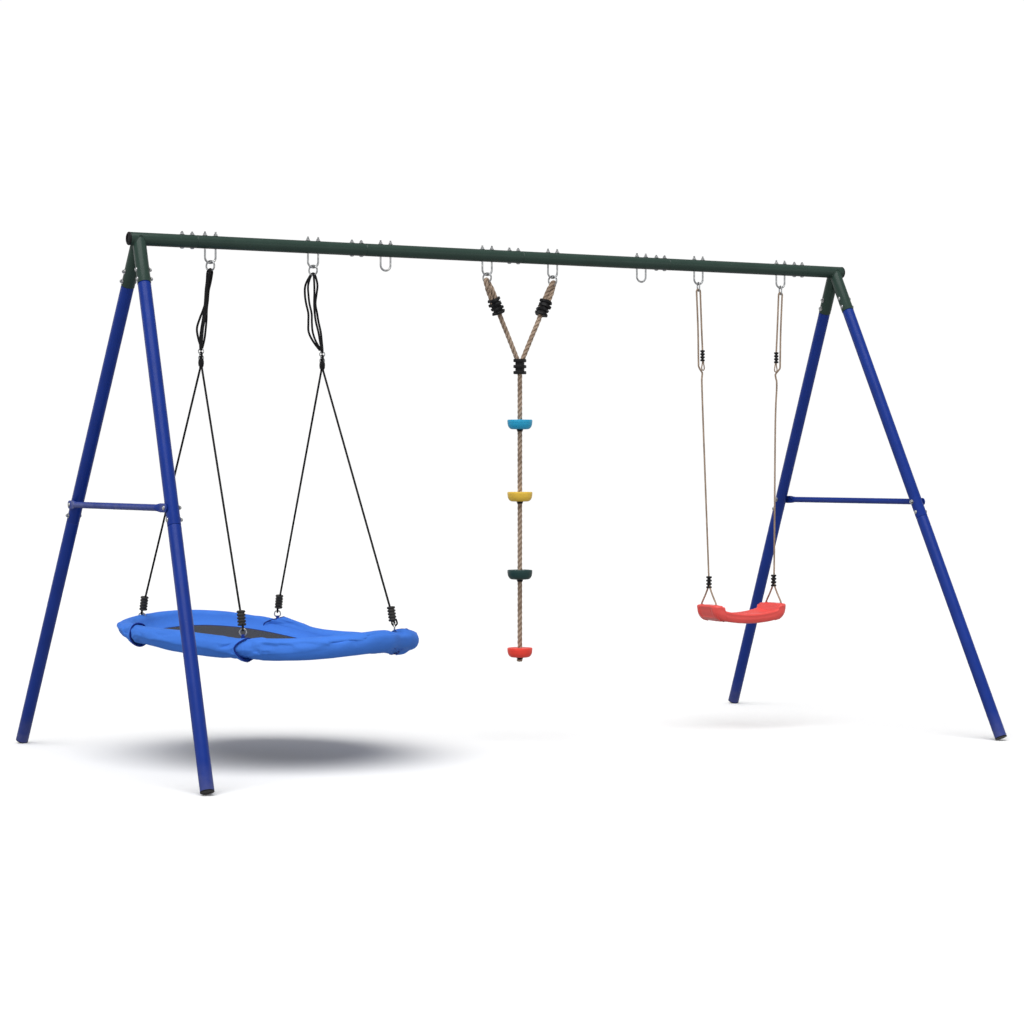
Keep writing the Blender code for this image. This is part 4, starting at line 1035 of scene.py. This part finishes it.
def make_seat():
    """Moulded seat: rounded shell, curved-in skirt, recessed end panels, treaded pan."""
    half_x = 0.1925
    half_y = 0.0825
    corner = 0.034
    edge = 0.0075
    tuck_x = 0.052
    tuck_y = 0.013
    skirt_rows = 12
    insets = [0.0] * skirt_rows
    insets += [edge * (1 - math.cos(math.pi / 2 * step / 4)) for step in range(5)]
    edge_rows = len(insets)
    nx = 148 + 2 * edge_rows
    ny = 36 + 2 * edge_rows

    def stations(half, count):
        inner = half - edge - 0.0012
        even = [-inner + 2 * inner * step / (count - 2 * edge_rows)
                for step in range(count - 2 * edge_rows + 1)]
        low = [-(half - inset) for inset in insets]
        return low + even + [-value for value in reversed(low)]

    xs = stations(half_x, nx)
    ys = stations(half_y, ny)
    skin = Skin()
    flat = []
    for column in range(nx + 1):
        for row in range(ny + 1):
            ring = min(column, row, nx - column, ny - row)
            inset = insets[ring] if ring < edge_rows else edge
            x, y = xs[column], ys[row]
            if ring < edge_rows:
                x = math.copysign(min(abs(x), half_x - inset), x)
                y = math.copysign(min(abs(y), half_y - inset), y)
            over_x = abs(x) - (half_x - corner)
            over_y = abs(y) - (half_y - corner)
            if over_x > 0 and over_y > 0:
                shrink = max(over_x, over_y) / math.hypot(over_x, over_y)
                x = math.copysign(half_x - corner + over_x * shrink, x)
                y = math.copysign(half_y - corner + over_y * shrink, y)
            top = seat_top(x, y)
            base = 0.4545 + 0.014 * (x / half_x) ** 2
            z = top
            if ring < skirt_rows:
                share = ring / skirt_rows
                z = base + (top - edge - base) * share
                end_side = smooth_step(abs(x), half_x - 0.012, half_x - 0.004)
                panel = (end_side * (1 - smooth_step(abs(y), 0.047, 0.051))
                         * smooth_step(z, 0.483, 0.489) * (1 - smooth_step(z, 0.521, 0.527)))
                drawn = 1 - math.sqrt(1 - (1 - share) ** 2)
                x *= 1 - (tuck_x * drawn + 0.0052 * panel) / half_x
                y *= 1 - tuck_y * drawn / half_y
                lip = smooth_step(share, 0.62, 0.70) * (1 - smooth_step(share, 0.9, 1.0))
                y -= math.copysign(0.0012 * lip, y)
            elif ring < edge_rows:
                z = top - edge * (1 - math.sin(math.pi / 2 * (ring - skirt_rows) / 4))
            skin.points.append(Vector((SEAT_X + x, y, z)))
            flat.append((x, y))
    skin.strand = [1.0] * len(skin.points)
    for column in range(nx):
        for row in range(ny):
            a = column * (ny + 1) + row
            corners = (a, a + ny + 1, a + ny + 2, a + 1)
            skin.faces.append(corners)
            skin.uvs.append(tuple(flat[index] for index in corners))
    seat = show("moulded_seat", skin, CORAL, "seat_body", "seat", sharp=50.0)
    shell = seat.modifiers.new("wall", "SOLIDIFY")
    shell.thickness = 0.0035
    shell.offset = -1.0
    skin = Skin()
    for hole_x in (-SEAT_HOLE_X, SEAT_HOLE_X):
        for hole_y in (-SEAT_HOLE_Y, SEAT_HOLE_Y):
            rim = []
            for step in range(28):
                angle = 2 * math.pi * step / 28
                rim.append(Vector((SEAT_X + hole_x + 0.0058 * math.cos(angle),
                                   hole_y + 0.0058 * math.sin(angle),
                                   seat_top(hole_x, hole_y) + 0.0004)))
            add_sweep(skin, rim, 0.0014, 8, closed=True)
    show("seat_hole_rims", skin, CORAL, "seat_body")


def make_seat_swing():
    """Links, ropes and the moulded seat."""
    for side, lean in (("left", 1), ("right", -1)):
        top = HANGER_Z + HANGER_WIRE + 0.003 + 0.0003
        centre = (HANGERS[f"seat_{side}"], 0.0, top - 0.018)
        wire_ring(f"long_link_{side}", centre, (0.0, 1.0, 0.0), 0.0082, 0.0030,
                  "seat_hangers", f"seat_link_{side}", tall=0.0098)
        make_seat_rope(side, lean)
        make_bridle(side, lean)
    make_seat()


# ---------------------------------------------------------------- nest swing
def nest_rim(angle):
    """Centre line of the padded rim and its outward normal in plan."""
    z = NEST_Z
    for order, (cosine, sine) in enumerate(NEST_WAVES, start=1):
        z += cosine * math.cos(order * angle) + sine * math.sin(order * angle)
    centre = Vector((NEST_X + NEST_A * math.cos(angle), NEST_B * math.sin(angle), z))
    normal = Vector((math.cos(angle) / NEST_A, math.sin(angle) / NEST_B, 0.0))
    return centre, normal.normalized()


def tie_angle(side, side_y):
    """Angle of a tie point on the rim."""
    return side_y * math.acos((TIE_X[side] - NEST_X) / NEST_A)


def tie_centre(side, side_y):
    """Centre of a tie ring."""
    rim = nest_rim(tie_angle(side, side_y))[0]
    return Vector((rim.x, rim.y, max(0.523, rim.z + HOOP_R + TIE_WIRE + TIE_RING_R)))


def rim_point(angle, around, reach):
    """Point at a reach from the rim's centre line; around is 0 outward, 90 degrees up."""
    centre, normal = nest_rim(angle)
    return centre + (normal * math.cos(around) + UP * math.sin(around)) * reach


# Where each panel's hem crosses the rim, and how far it slants on the tube's outer side,
# top, inner side and underside, in radians round the rim.
HEMS = {
    "left_back": (3.100, (0.02, 0.00, -0.02, 0.03)),
    "left_front": (4.051, (-0.035, 0.030, 0.085, 0.030)),
    "right_front": (5.430, (0.62, 0.02, -0.08, 0.80)),
    "right_back": (7.271, (-0.10, -0.044, 0.095, 0.05)),
}
HEM_ORDER = list(HEMS)
CLOTH_CAP = 0.0065


def hem_angle(hem, around):
    """Where on the rim a hem lies, for each direction around the tube."""
    middle, slants = HEMS[hem]
    across, rise = math.cos(around), math.sin(around)
    weights = (max(0.0, across) ** 2, max(0.0, rise) ** 2,
               max(0.0, -across) ** 2, max(0.0, -rise) ** 2)
    return middle + sum(weight * slant for weight, slant in zip(weights, slants))


def cuff(gap, around, hem):
    """How far a panel's loose cuff stands off the tube, gap radians before its hem."""
    below = max(0.0, -math.sin(around)) ** 1.5
    above = max(0.0, math.sin(around)) ** 3
    lobe = 0.0085 if hem.startswith("left") else 0.0008
    crown = {"right_back": 0.0090, "right_front": 0.0035}.get(hem, 0.0)
    return (0.0028 * math.exp(-(gap / 0.05) ** 2)
            + (lobe * below + crown * above) * math.exp(-(gap / 0.10) ** 2))


def fullness(angle, around):
    """How far the stuffing stands beyond an even tube: fat in front, high on the far right."""
    rise = math.sin(around)
    turn = math.remainder(angle, 2 * math.pi)
    near = min(abs(math.remainder(angle - tie_angle(side, -1), 2 * math.pi)) for side in TIE_X)
    front = 0.0105 * smooth_step(-math.sin(angle), -0.1, 0.5) * smooth_step(near, 0.02, 0.15)
    front *= 1 - rise ** 2 * smooth_step(turn, -1.0, -0.85)
    upper = 0.021 * math.exp(-((turn - 0.26) / 0.30) ** 2) * max(0.0, rise) ** 1.5
    lower = 0.012 * math.exp(-(turn / 0.38) ** 2) * max(0.0, -rise) ** 1.5
    return front + upper - lower


def cover_point(angle, around, over):
    """Point of the cover: a stuffed tube, drawn to the mat on its inner underside."""
    fold = 0.006 * math.exp(-((around - math.radians(FOLD)) / 0.35) ** 2)
    return rim_point(angle, around, PAD_R - 0.0022 + fold + fullness(angle, around) + over)


def make_panel(index):
    """One sewn cover panel, from under its neighbour's cuff to its own cuff."""
    hem = HEM_ORDER[index]
    next_hem = HEM_ORDER[(index + 1) % 4]
    lap = 2 * math.pi if index == 3 else 0.0
    steps = round((HEMS[next_hem][0] + lap - HEMS[hem][0]) * 0.575 / 0.0052)
    rows = []
    uv_rows = []
    for step in range(steps + 1):
        share = step / steps
        row = []
        uv_row = []
        for side in range(COVER_SIDES + 1):
            around = 2 * math.pi * side / COVER_SIDES
            start = hem_angle(hem, around) - 0.030
            finish = hem_angle(next_hem, around) + lap
            angle = start + (finish - start) * share
            tuck = -0.0042 * math.exp(-((angle - start) / 0.055) ** 2)
            puff = noise.noise(Vector((angle * 7.0, around * 1.4, index))) * 0.0012
            over = tuck + puff + cuff(finish - angle, around, next_hem)
            row.append(cover_point(angle, around, over))
            uv_row.append((around * PAD_R, angle * CLOTH_R))
        rows.append(row[:-1])
        uv_rows.append(uv_row)
    skin = Skin()
    skin.add_rows(rows, uv_rows, caps=False)
    mesh_rows = steps + 1
    held = []
    seam = round(COVER_SIDES * FOLD / 360)
    for row in range(mesh_rows):
        for side in range(COVER_SIDES):
            ends = min(row, mesh_rows - 1 - row)
            weight = max(1.0 - ends / 3.0, 1.0 - abs(side - seam) / 2.0)
            if weight > 0:
                held.append((row * COVER_SIDES + side, weight))
    panel = show(f"cover_panel_{hem}", skin, COVER, "nest_seat", sharp=70.0)
    return panel, held


def inflate(panels):
    """Cloth simulation of all the panels at once; each keeps its held stitches."""
    starts = {}
    for panel, held in panels:
        group = panel.vertex_groups.new(name="held")
        for index, weight in held:
            group.add([index], weight, "REPLACE")
        starts[panel] = [vertex.co.copy() for vertex in panel.data.vertices]
        cloth = panel.modifiers.new("cloth", "CLOTH")
        cloth.point_cache.frame_end = 20
        cloth.collision_settings.use_collision = False
        settings = cloth.settings
        settings.quality = 5
        settings.mass = 0.15
        settings.bending_stiffness = 0.15
        settings.vertex_group_mass = "held"
        settings.use_pressure = True
        settings.uniform_pressure_force = 4.0
        settings.shrink_min = -0.045
        settings.effector_weights.gravity = 0.0
    scene = bpy.context.scene
    for step in range(1, 21):
        scene.frame_set(step)
    graph = bpy.context.evaluated_depsgraph_get()
    for panel, held in panels:
        blown = [vertex.co.copy() for vertex in panel.evaluated_get(graph).data.vertices]
        for vertex, start, moved in zip(panel.data.vertices, starts[panel], blown):
            push = moved - start
            if push.length > CLOTH_CAP:
                push *= CLOTH_CAP / push.length
            vertex.co = start + push
    for panel, held in panels:
        panel.modifiers.remove(panel.modifiers["cloth"])
        panel.vertex_groups.clear()
    scene.frame_set(1)


def make_cover():
    """Four stuffed panels with piped hems and cloth thickness."""
    panels = [make_panel(index) for index in range(4)]
    inflate(panels)
    for index, (panel, _) in enumerate(panels):
        wall = panel.modifiers.new("wall", "SOLIDIFY")
        wall.thickness = 0.0014
        wall.offset = -1.0
        if index == 0:
            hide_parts("nest_cover")
        rim = [vertex.co.copy() for vertex in panel.data.vertices[-COVER_SIDES:]]
        route = smooth_route(rim + [rim[0]], 0.003)[:-1]
        show_sweep(f"cover_piping_{HEM_ORDER[(index + 1) % 4]}", route, 0.0030, 10, PIPING,
                   "nest_seat", closed=True)


MAT_MIDDLE = Vector((NEST_X, 0.0, NEST_Z - 0.052))


def mat_point(angle, reach):
    """Point of the sagging mat at a share of the way from its middle to the rim."""
    edge = rim_point(angle, math.radians(208), PAD_R - 0.003)
    flat = MAT_MIDDLE.lerp(edge, reach)
    z = MAT_MIDDLE.z + reach ** 2 * (edge.z - MAT_MIDDLE.z)
    z += 0.0016 * noise.noise(Vector((flat.x * 7.0, flat.y * 7.0, 0.0)))
    return Vector((flat.x, flat.y, z))


def hem_section(angle):
    """Section of the mat's doubled hem: off the tube's inner side, in to the edge, back under."""
    gather = Vector((0.0, 0.0, 0.0009 * math.sin(angle * 61.0)))
    section = []
    for sign, around, width in ((1, 158, 0.0), (-1, 238, 0.05)):
        lift = Vector((0.0, 0.0, 0.0026 * sign))
        root = cover_point(angle, math.radians(around), -0.001)
        bend = mat_point(angle, 0.972 - width) + lift + gather
        inner = mat_point(angle, 0.935 - width) + lift
        half = []
        for step in range(9):
            share = step / 8
            half.append(root * (1 - share) ** 2 + bend * 2 * share * (1 - share)
                        + inner * share ** 2)
        half.append(mat_point(angle, 0.918 - width) + lift)
        section += half if sign > 0 else [mat_point(angle, STITCH)] + half[::-1]
    return section


def make_mat():
    """Sagging woven mat, and the doubled blue hem that joins it to the cover."""
    around_steps = 180
    rings = 24
    rows = []
    uv_rows = []
    for ring in range(1, rings + 1):
        points = [mat_point(2 * math.pi * step / around_steps, ring / rings)
                  for step in range(around_steps + 1)]
        rows.append(points[:-1])
        uv_rows.append([(point.x, point.y) for point in points])
    skin = Skin()
    skin.add_rows(rows, uv_rows, caps=False)
    base = len(skin.points)
    skin.points.append(mat_point(0.0, 0.0))
    skin.strand.append(1.0)
    for step in range(around_steps):
        after = (step + 1) % around_steps
        skin.faces.append((base, after, step))
        skin.uvs.append(((MAT_MIDDLE.x, 0.0), uv_rows[0][step + 1], uv_rows[0][step]))
    mat = show("woven_mat", skin, MAT, "nest_seat", "nest_mat", sharp=60.0)
    cloth = mat.modifiers.new("cloth", "SOLIDIFY")
    cloth.thickness = 0.0022
    cloth.offset = 0.0

    steps = 288
    rows = []
    uv_rows = []
    for step in range(steps):
        angle = 2 * math.pi * step / steps
        row = hem_section(angle)
        rows.append(row)
        uv_rows.append([(index * 0.007, angle * CLOTH_R) for index in range(len(row) + 1)])
    uv_rows.append([(u, v + 2 * math.pi / steps * CLOTH_R) for u, v in uv_rows[-1]])
    skin = Skin()
    skin.add_rows(rows, uv_rows, loop_rows=True)
    hem = show("mat_hem", skin, COVER, "nest_seat", sharp=60.0)
    stitch = [mat_point(2 * math.pi * step / steps, STITCH) for step in range(steps)]
    edging = show_sweep("mat_hem_edging", stitch, 0.0024, 8, PIPING, "nest_seat", closed=True)


def make_hoop():
    """Steel hoop inside the cover, seen in the tie slits."""
    route = [nest_rim(2 * math.pi * step / 160)[0] for step in range(160)]
    show_sweep("steel_hoop", route, HOOP_R, 16, ZINC, "nest_seat", "nest_hoop", closed=True)


def tie_facing(side, end):
    """Horizontal direction in a tie ring's plane; the far right one has turned edge-on."""
    turn = math.radians(60 if (side, end) == ("right", "front") else -30)
    return Vector((math.cos(turn), math.sin(turn), 0.0))


def make_tie(side, side_y, end):
    """Tie ring and the webbing strap that holds it to the hoop."""
    centre = tie_centre(side, side_y)
    rim = nest_rim(tie_angle(side, side_y))[0]
    label = f"{side}_{end}"
    across = tie_facing(side, end)
    wire_ring(f"tie_wire_ring_{label}", centre, across, TIE_RING_R, TIE_WIRE, "nest_seat",
              f"tie_ring_{label}")
    out = UP.cross(across)
    top = centre - UP * TIE_RING_R
    outline = []
    for step in range(9):
        angle = math.pi * step / 8
        outline.append(top + (out * math.cos(angle) + UP * math.sin(angle)) * 0.0042)
    for step in range(15):
        angle = math.pi + math.pi * step / 14
        outline.append(rim + (out * math.cos(angle) + UP * math.sin(angle))
                       * (HOOP_R + 0.0022))
    rows = []
    uv_rows = []
    for index, point in enumerate(outline):
        before = outline[index - 1]
        after = outline[(index + 1) % len(outline)]
        inward = (after - before).cross(across).normalized() * 0.0008
        wide = across * (0.0055 if index < 9 else 0.0090)
        rows.append([point - wide - inward, point + wide - inward,
                     point + wide + inward, point - wide + inward])
        uv_rows.append([(0.0, index * 0.004), (0.02, index * 0.004), (0.022, index * 0.004),
                        (0.042, index * 0.004), (0.044, index * 0.004)])
    uv_rows.append([(u, v + 0.004) for u, v in uv_rows[-1]])
    skin = Skin()
    skin.add_rows(rows, uv_rows, loop_rows=True)
    show(f"tie_strap_{label}", skin, PIPING, "nest_seat", sharp=60.0)


def make_tie_loop(side, end, bottom, up):
    """The rope's end loop through the tie ring, and the ribbed ferrule that clamps it."""
    label = f"{side}_{end}"
    lean = (up + UP).normalized()
    ferrule = make_ribbed(f"rope_ferrule_{label}", bottom + up * 0.040, lean, 0.054, 5, 0.0160,
                          0.0118, GREY_RUBBER, "nest_seat", squash=0.9, duty=0.56)
    ring = tie_centre(side, 1 if end == "back" else -1)
    across = tie_facing(side, end)
    thick = Vector((-across.y, across.x, 0.0))
    spread = 0.0098 if (side, end) == ("right", "front") else 0.0060
    wire = ring + UP * TIE_RING_R
    rope_loop = [bottom + lean * 0.016 + thick * spread * 0.8,
                 wire + thick * spread + UP * 0.004]
    for step in range(1, 8):
        angle = math.pi * step / 8
        rope_loop.append(wire + (thick * math.cos(angle) - UP * math.sin(angle)) * 0.0066)
    rope_loop += [wire - thick * spread + UP * 0.004,
                  bottom + lean * 0.016 - thick * spread * 0.8]
    loop = show_sweep(f"tie_rope_loop_{label}", smooth_route(rope_loop, 0.002), 0.0036, 12,
                      BLACK_ROPE, "nest_seat", shape=braided(0.010))
    return [ferrule, loop]


def make_nest_rope(side):
    """One rope: back tie, up through the adjuster ring, down to the front tie."""
    x = ADJUST_X[side]
    loop = 0.0065
    crown = TILT_Z - 0.004
    split = 1.504
    back = tie_centre(side, 1) + UP * 0.0155
    front = tie_centre(side, -1) + UP * 0.0155
    back_apex = Vector((x, 0.0085, split))
    front_apex = Vector((x, -0.0085, split))
    route = smooth_route([back, back.lerp(back_apex, 0.5), back_apex], 0.03)
    route += [Vector((x, loop, 1.524)), Vector((x, loop, crown))]
    for step in range(1, 10):
        angle = math.pi * step / 10
        route.append(Vector((x, loop * math.cos(angle), crown + loop * math.sin(angle))))
    route += [Vector((x, -loop, crown)), Vector((x, -loop, 1.524))]
    route += smooth_route([front_apex, front.lerp(front_apex, 0.5), front], 0.03)
    route = evened(route, 0.0026)
    rope = show_sweep(f"nest_v_rope_{side}", route, 0.0042, 14, BLACK_ROPE, "nest_seat",
                      f"nest_rope_{side}", shape=braided(0.011))
    pieces = make_tie_loop(side, "back", back, (back_apex - back).normalized())
    pieces += make_tie_loop(side, "front", front, (front_apex - front).normalized())
    coils = []
    for step in range(7 * 24 + 1):
        angle = 2 * math.pi * step / 24
        bulge = 1.0 + 0.25 * math.sin(math.pi * step / (7 * 24))
        coils.append(Vector((x + 0.0064 * bulge * math.cos(angle),
                             0.0118 * bulge * math.sin(angle), 1.538 - 0.0038 * step / 24)))
    pieces.append(show_sweep(f"rope_whipping_{side}", coils, 0.0022, 8, BLACK_ROPE, "nest_seat"))
    pieces.append(wire_ring(f"rope_keeper_ring_{side}", (x, 0.0, 1.5435), ACROSS, 0.0095,
                            0.0018, "nest_seat"))


# Sideways places of each slack run, from the ring down to the adjuster ring, in metres.
SLACK = {
    "left": ((0.000, -0.001, 0.000, -0.003, -0.010, -0.020, -0.026, -0.017, -0.002),
             (-0.009, -0.008, -0.008, -0.006, -0.005, -0.006, -0.008, -0.008, -0.004),
             (0.008, 0.007, 0.003, 0.004, 0.004, 0.007, 0.008, 0.008, 0.004),
             (0.000, -0.002, -0.004, -0.001, 0.001, 0.001, -0.001, 0.000, 0.000)),
    "right": ((-0.014, -0.036, -0.042, -0.041, -0.037, -0.041, -0.044, -0.031, -0.008),
              (0.008, 0.012, 0.004, -0.004, -0.002, 0.000, 0.004, 0.004, 0.003),
              (-0.010, -0.025, -0.028, -0.028, -0.024, -0.027, -0.028, -0.020, -0.003),
              (0.002, 0.000, -0.004, -0.009, -0.011, -0.010, -0.005, -0.003, 0.000)),
}


def make_adjuster(side):
    """Adjusting rope gathered in slack runs between the top ring and adjuster ring."""
    x = ADJUST_X[side]
    hanger = HANGERS[f"nest_{side}"]
    top = Vector((hanger, 0.0, RING_Z - 2 * NEST_RING_R + 0.0080))
    low = Vector((x, 0.0, 1.5728))
    route = []
    for index, offsets in enumerate(SLACK[side]):
        depth = (0.006, -0.003, 0.004, -0.007)[index]
        run = []
        for step, offset in enumerate(offsets):
            share = 0.035 + 0.93 * step / 8
            run.append(top.lerp(low, share) + ACROSS * offset + DEEP * depth)
        over = top + DEEP * depth * 0.9
        if index % 2 == 0:
            run.reverse()
            run.append(over)
        else:
            run.append(low + DEEP * (depth + 0.001) * 0.5)
        route += run
    route = evened(smooth_route(route, 0.006), 0.0028)
    rope = show_sweep(f"adjusting_rope_{side}", route, 0.0044, 14, BLACK_ROPE,
                      "nest_hangers", f"nest_adjuster_{side}", shape=braided(0.012))
    wire_ring(f"adjuster_ring_{side}", (x, 0.0, TILT_Z + 0.0060), ACROSS, 0.0100, 0.0020,
              "nest_hangers")
    wire_ring(f"nest_wire_ring_{side}", (hanger, 0.0, RING_Z - NEST_RING_R),
              (0.5, -0.866, 0.0), NEST_RING_R, 0.0035, "nest_hangers", f"nest_ring_{side}")


def make_nest_swing():
    """The whole nest swing."""
    for side in TIE_X:
        make_nest_rope(side)
        make_adjuster(side)
        for side_y, end in ((-1, "front"), (1, "back")):
            make_tie(side, side_y, end)
    make_hoop()
    make_cover()
    make_mat()


# ---------------------------------------------------------------- studio
def make_studio():
    """Camera at the catalogue view, pale floor and soft light from the front, top left."""
    data = bpy.data.cameras.new("camera")
    data.lens = 88.96
    data.sensor_width = 36.0
    camera = bpy.data.objects.new("camera", data)
    bpy.context.scene.collection.objects.link(camera)
    camera.location = (-5.1724, -8.9844, 1.1196)
    camera.rotation_euler = (math.radians(89.022), 0.0, math.radians(-29.89))
    bpy.context.scene.camera = camera

    floor_mesh = bpy.data.meshes.new("floor")
    size = 60.0
    floor_mesh.from_pydata([(-size, -size, 0), (size, -size, 0), (size, size, 0),
                            (-size, size, 0)], [], [(0, 1, 2, 3)])
    floor = bpy.data.objects.new("floor", floor_mesh)
    bpy.context.scene.collection.objects.link(floor)
    floor_mesh.materials.append(new_material("pale_floor", (0.93, 0.93, 0.93), 0.95)[0])
    floor.location.z = -0.0002
    floor.visible_diffuse = False
    floor.visible_glossy = False

    world = bpy.data.worlds.new("studio")
    world.use_nodes = True
    tree = world.node_tree
    place = add_node(tree, "ShaderNodeTexCoord")
    split = add_node(tree, "ShaderNodeSeparateXYZ")
    tree.links.new(place.outputs["Generated"], split.inputs["Vector"])
    height = math_node(tree, "ADD", math_node(tree, "MULTIPLY", split.outputs["Z"], 0.5), 0.5)
    below, bright, above = 0.48, 1.0, 0.24
    sky = ramp(tree, height, [(0.0, below), (0.455, below), (0.485, bright), (0.62, bright),
                              (0.69, above), (1.0, above)])
    tree.links.new(sky, tree.nodes["Background"].inputs["Color"])
    tree.nodes["Background"].inputs["Strength"].default_value = 1.02
    bpy.context.scene.world = world
    bpy.context.scene.view_settings.view_transform = "Standard"
    sun_data = bpy.data.lights.new("key", "SUN")
    sun_data.energy = 3.0
    sun_data.angle = math.radians(60)
    sun = bpy.data.objects.new("key", sun_data)
    bpy.context.scene.collection.objects.link(sun)
    sun.rotation_euler = Vector((0.30, 0.36, -1.0)).to_track_quat("-Z", "Y").to_euler()


make_studio()
make_climbing_rope()
make_seat_swing()
make_nest_swing()
make_beam()
for end_label, end_side in (("left", -1), ("right", 1)):
    make_connector(end_label, end_side)
    make_crossbar(end_label, end_side)
    for row_label, row_side in (("front", -1), ("back", 1)):
        make_leg(f"{end_label}_{row_label}", end_side, row_side)
for hanger_label, hanger_x in HANGERS.items():
    make_hanger(hanger_label, hanger_x)
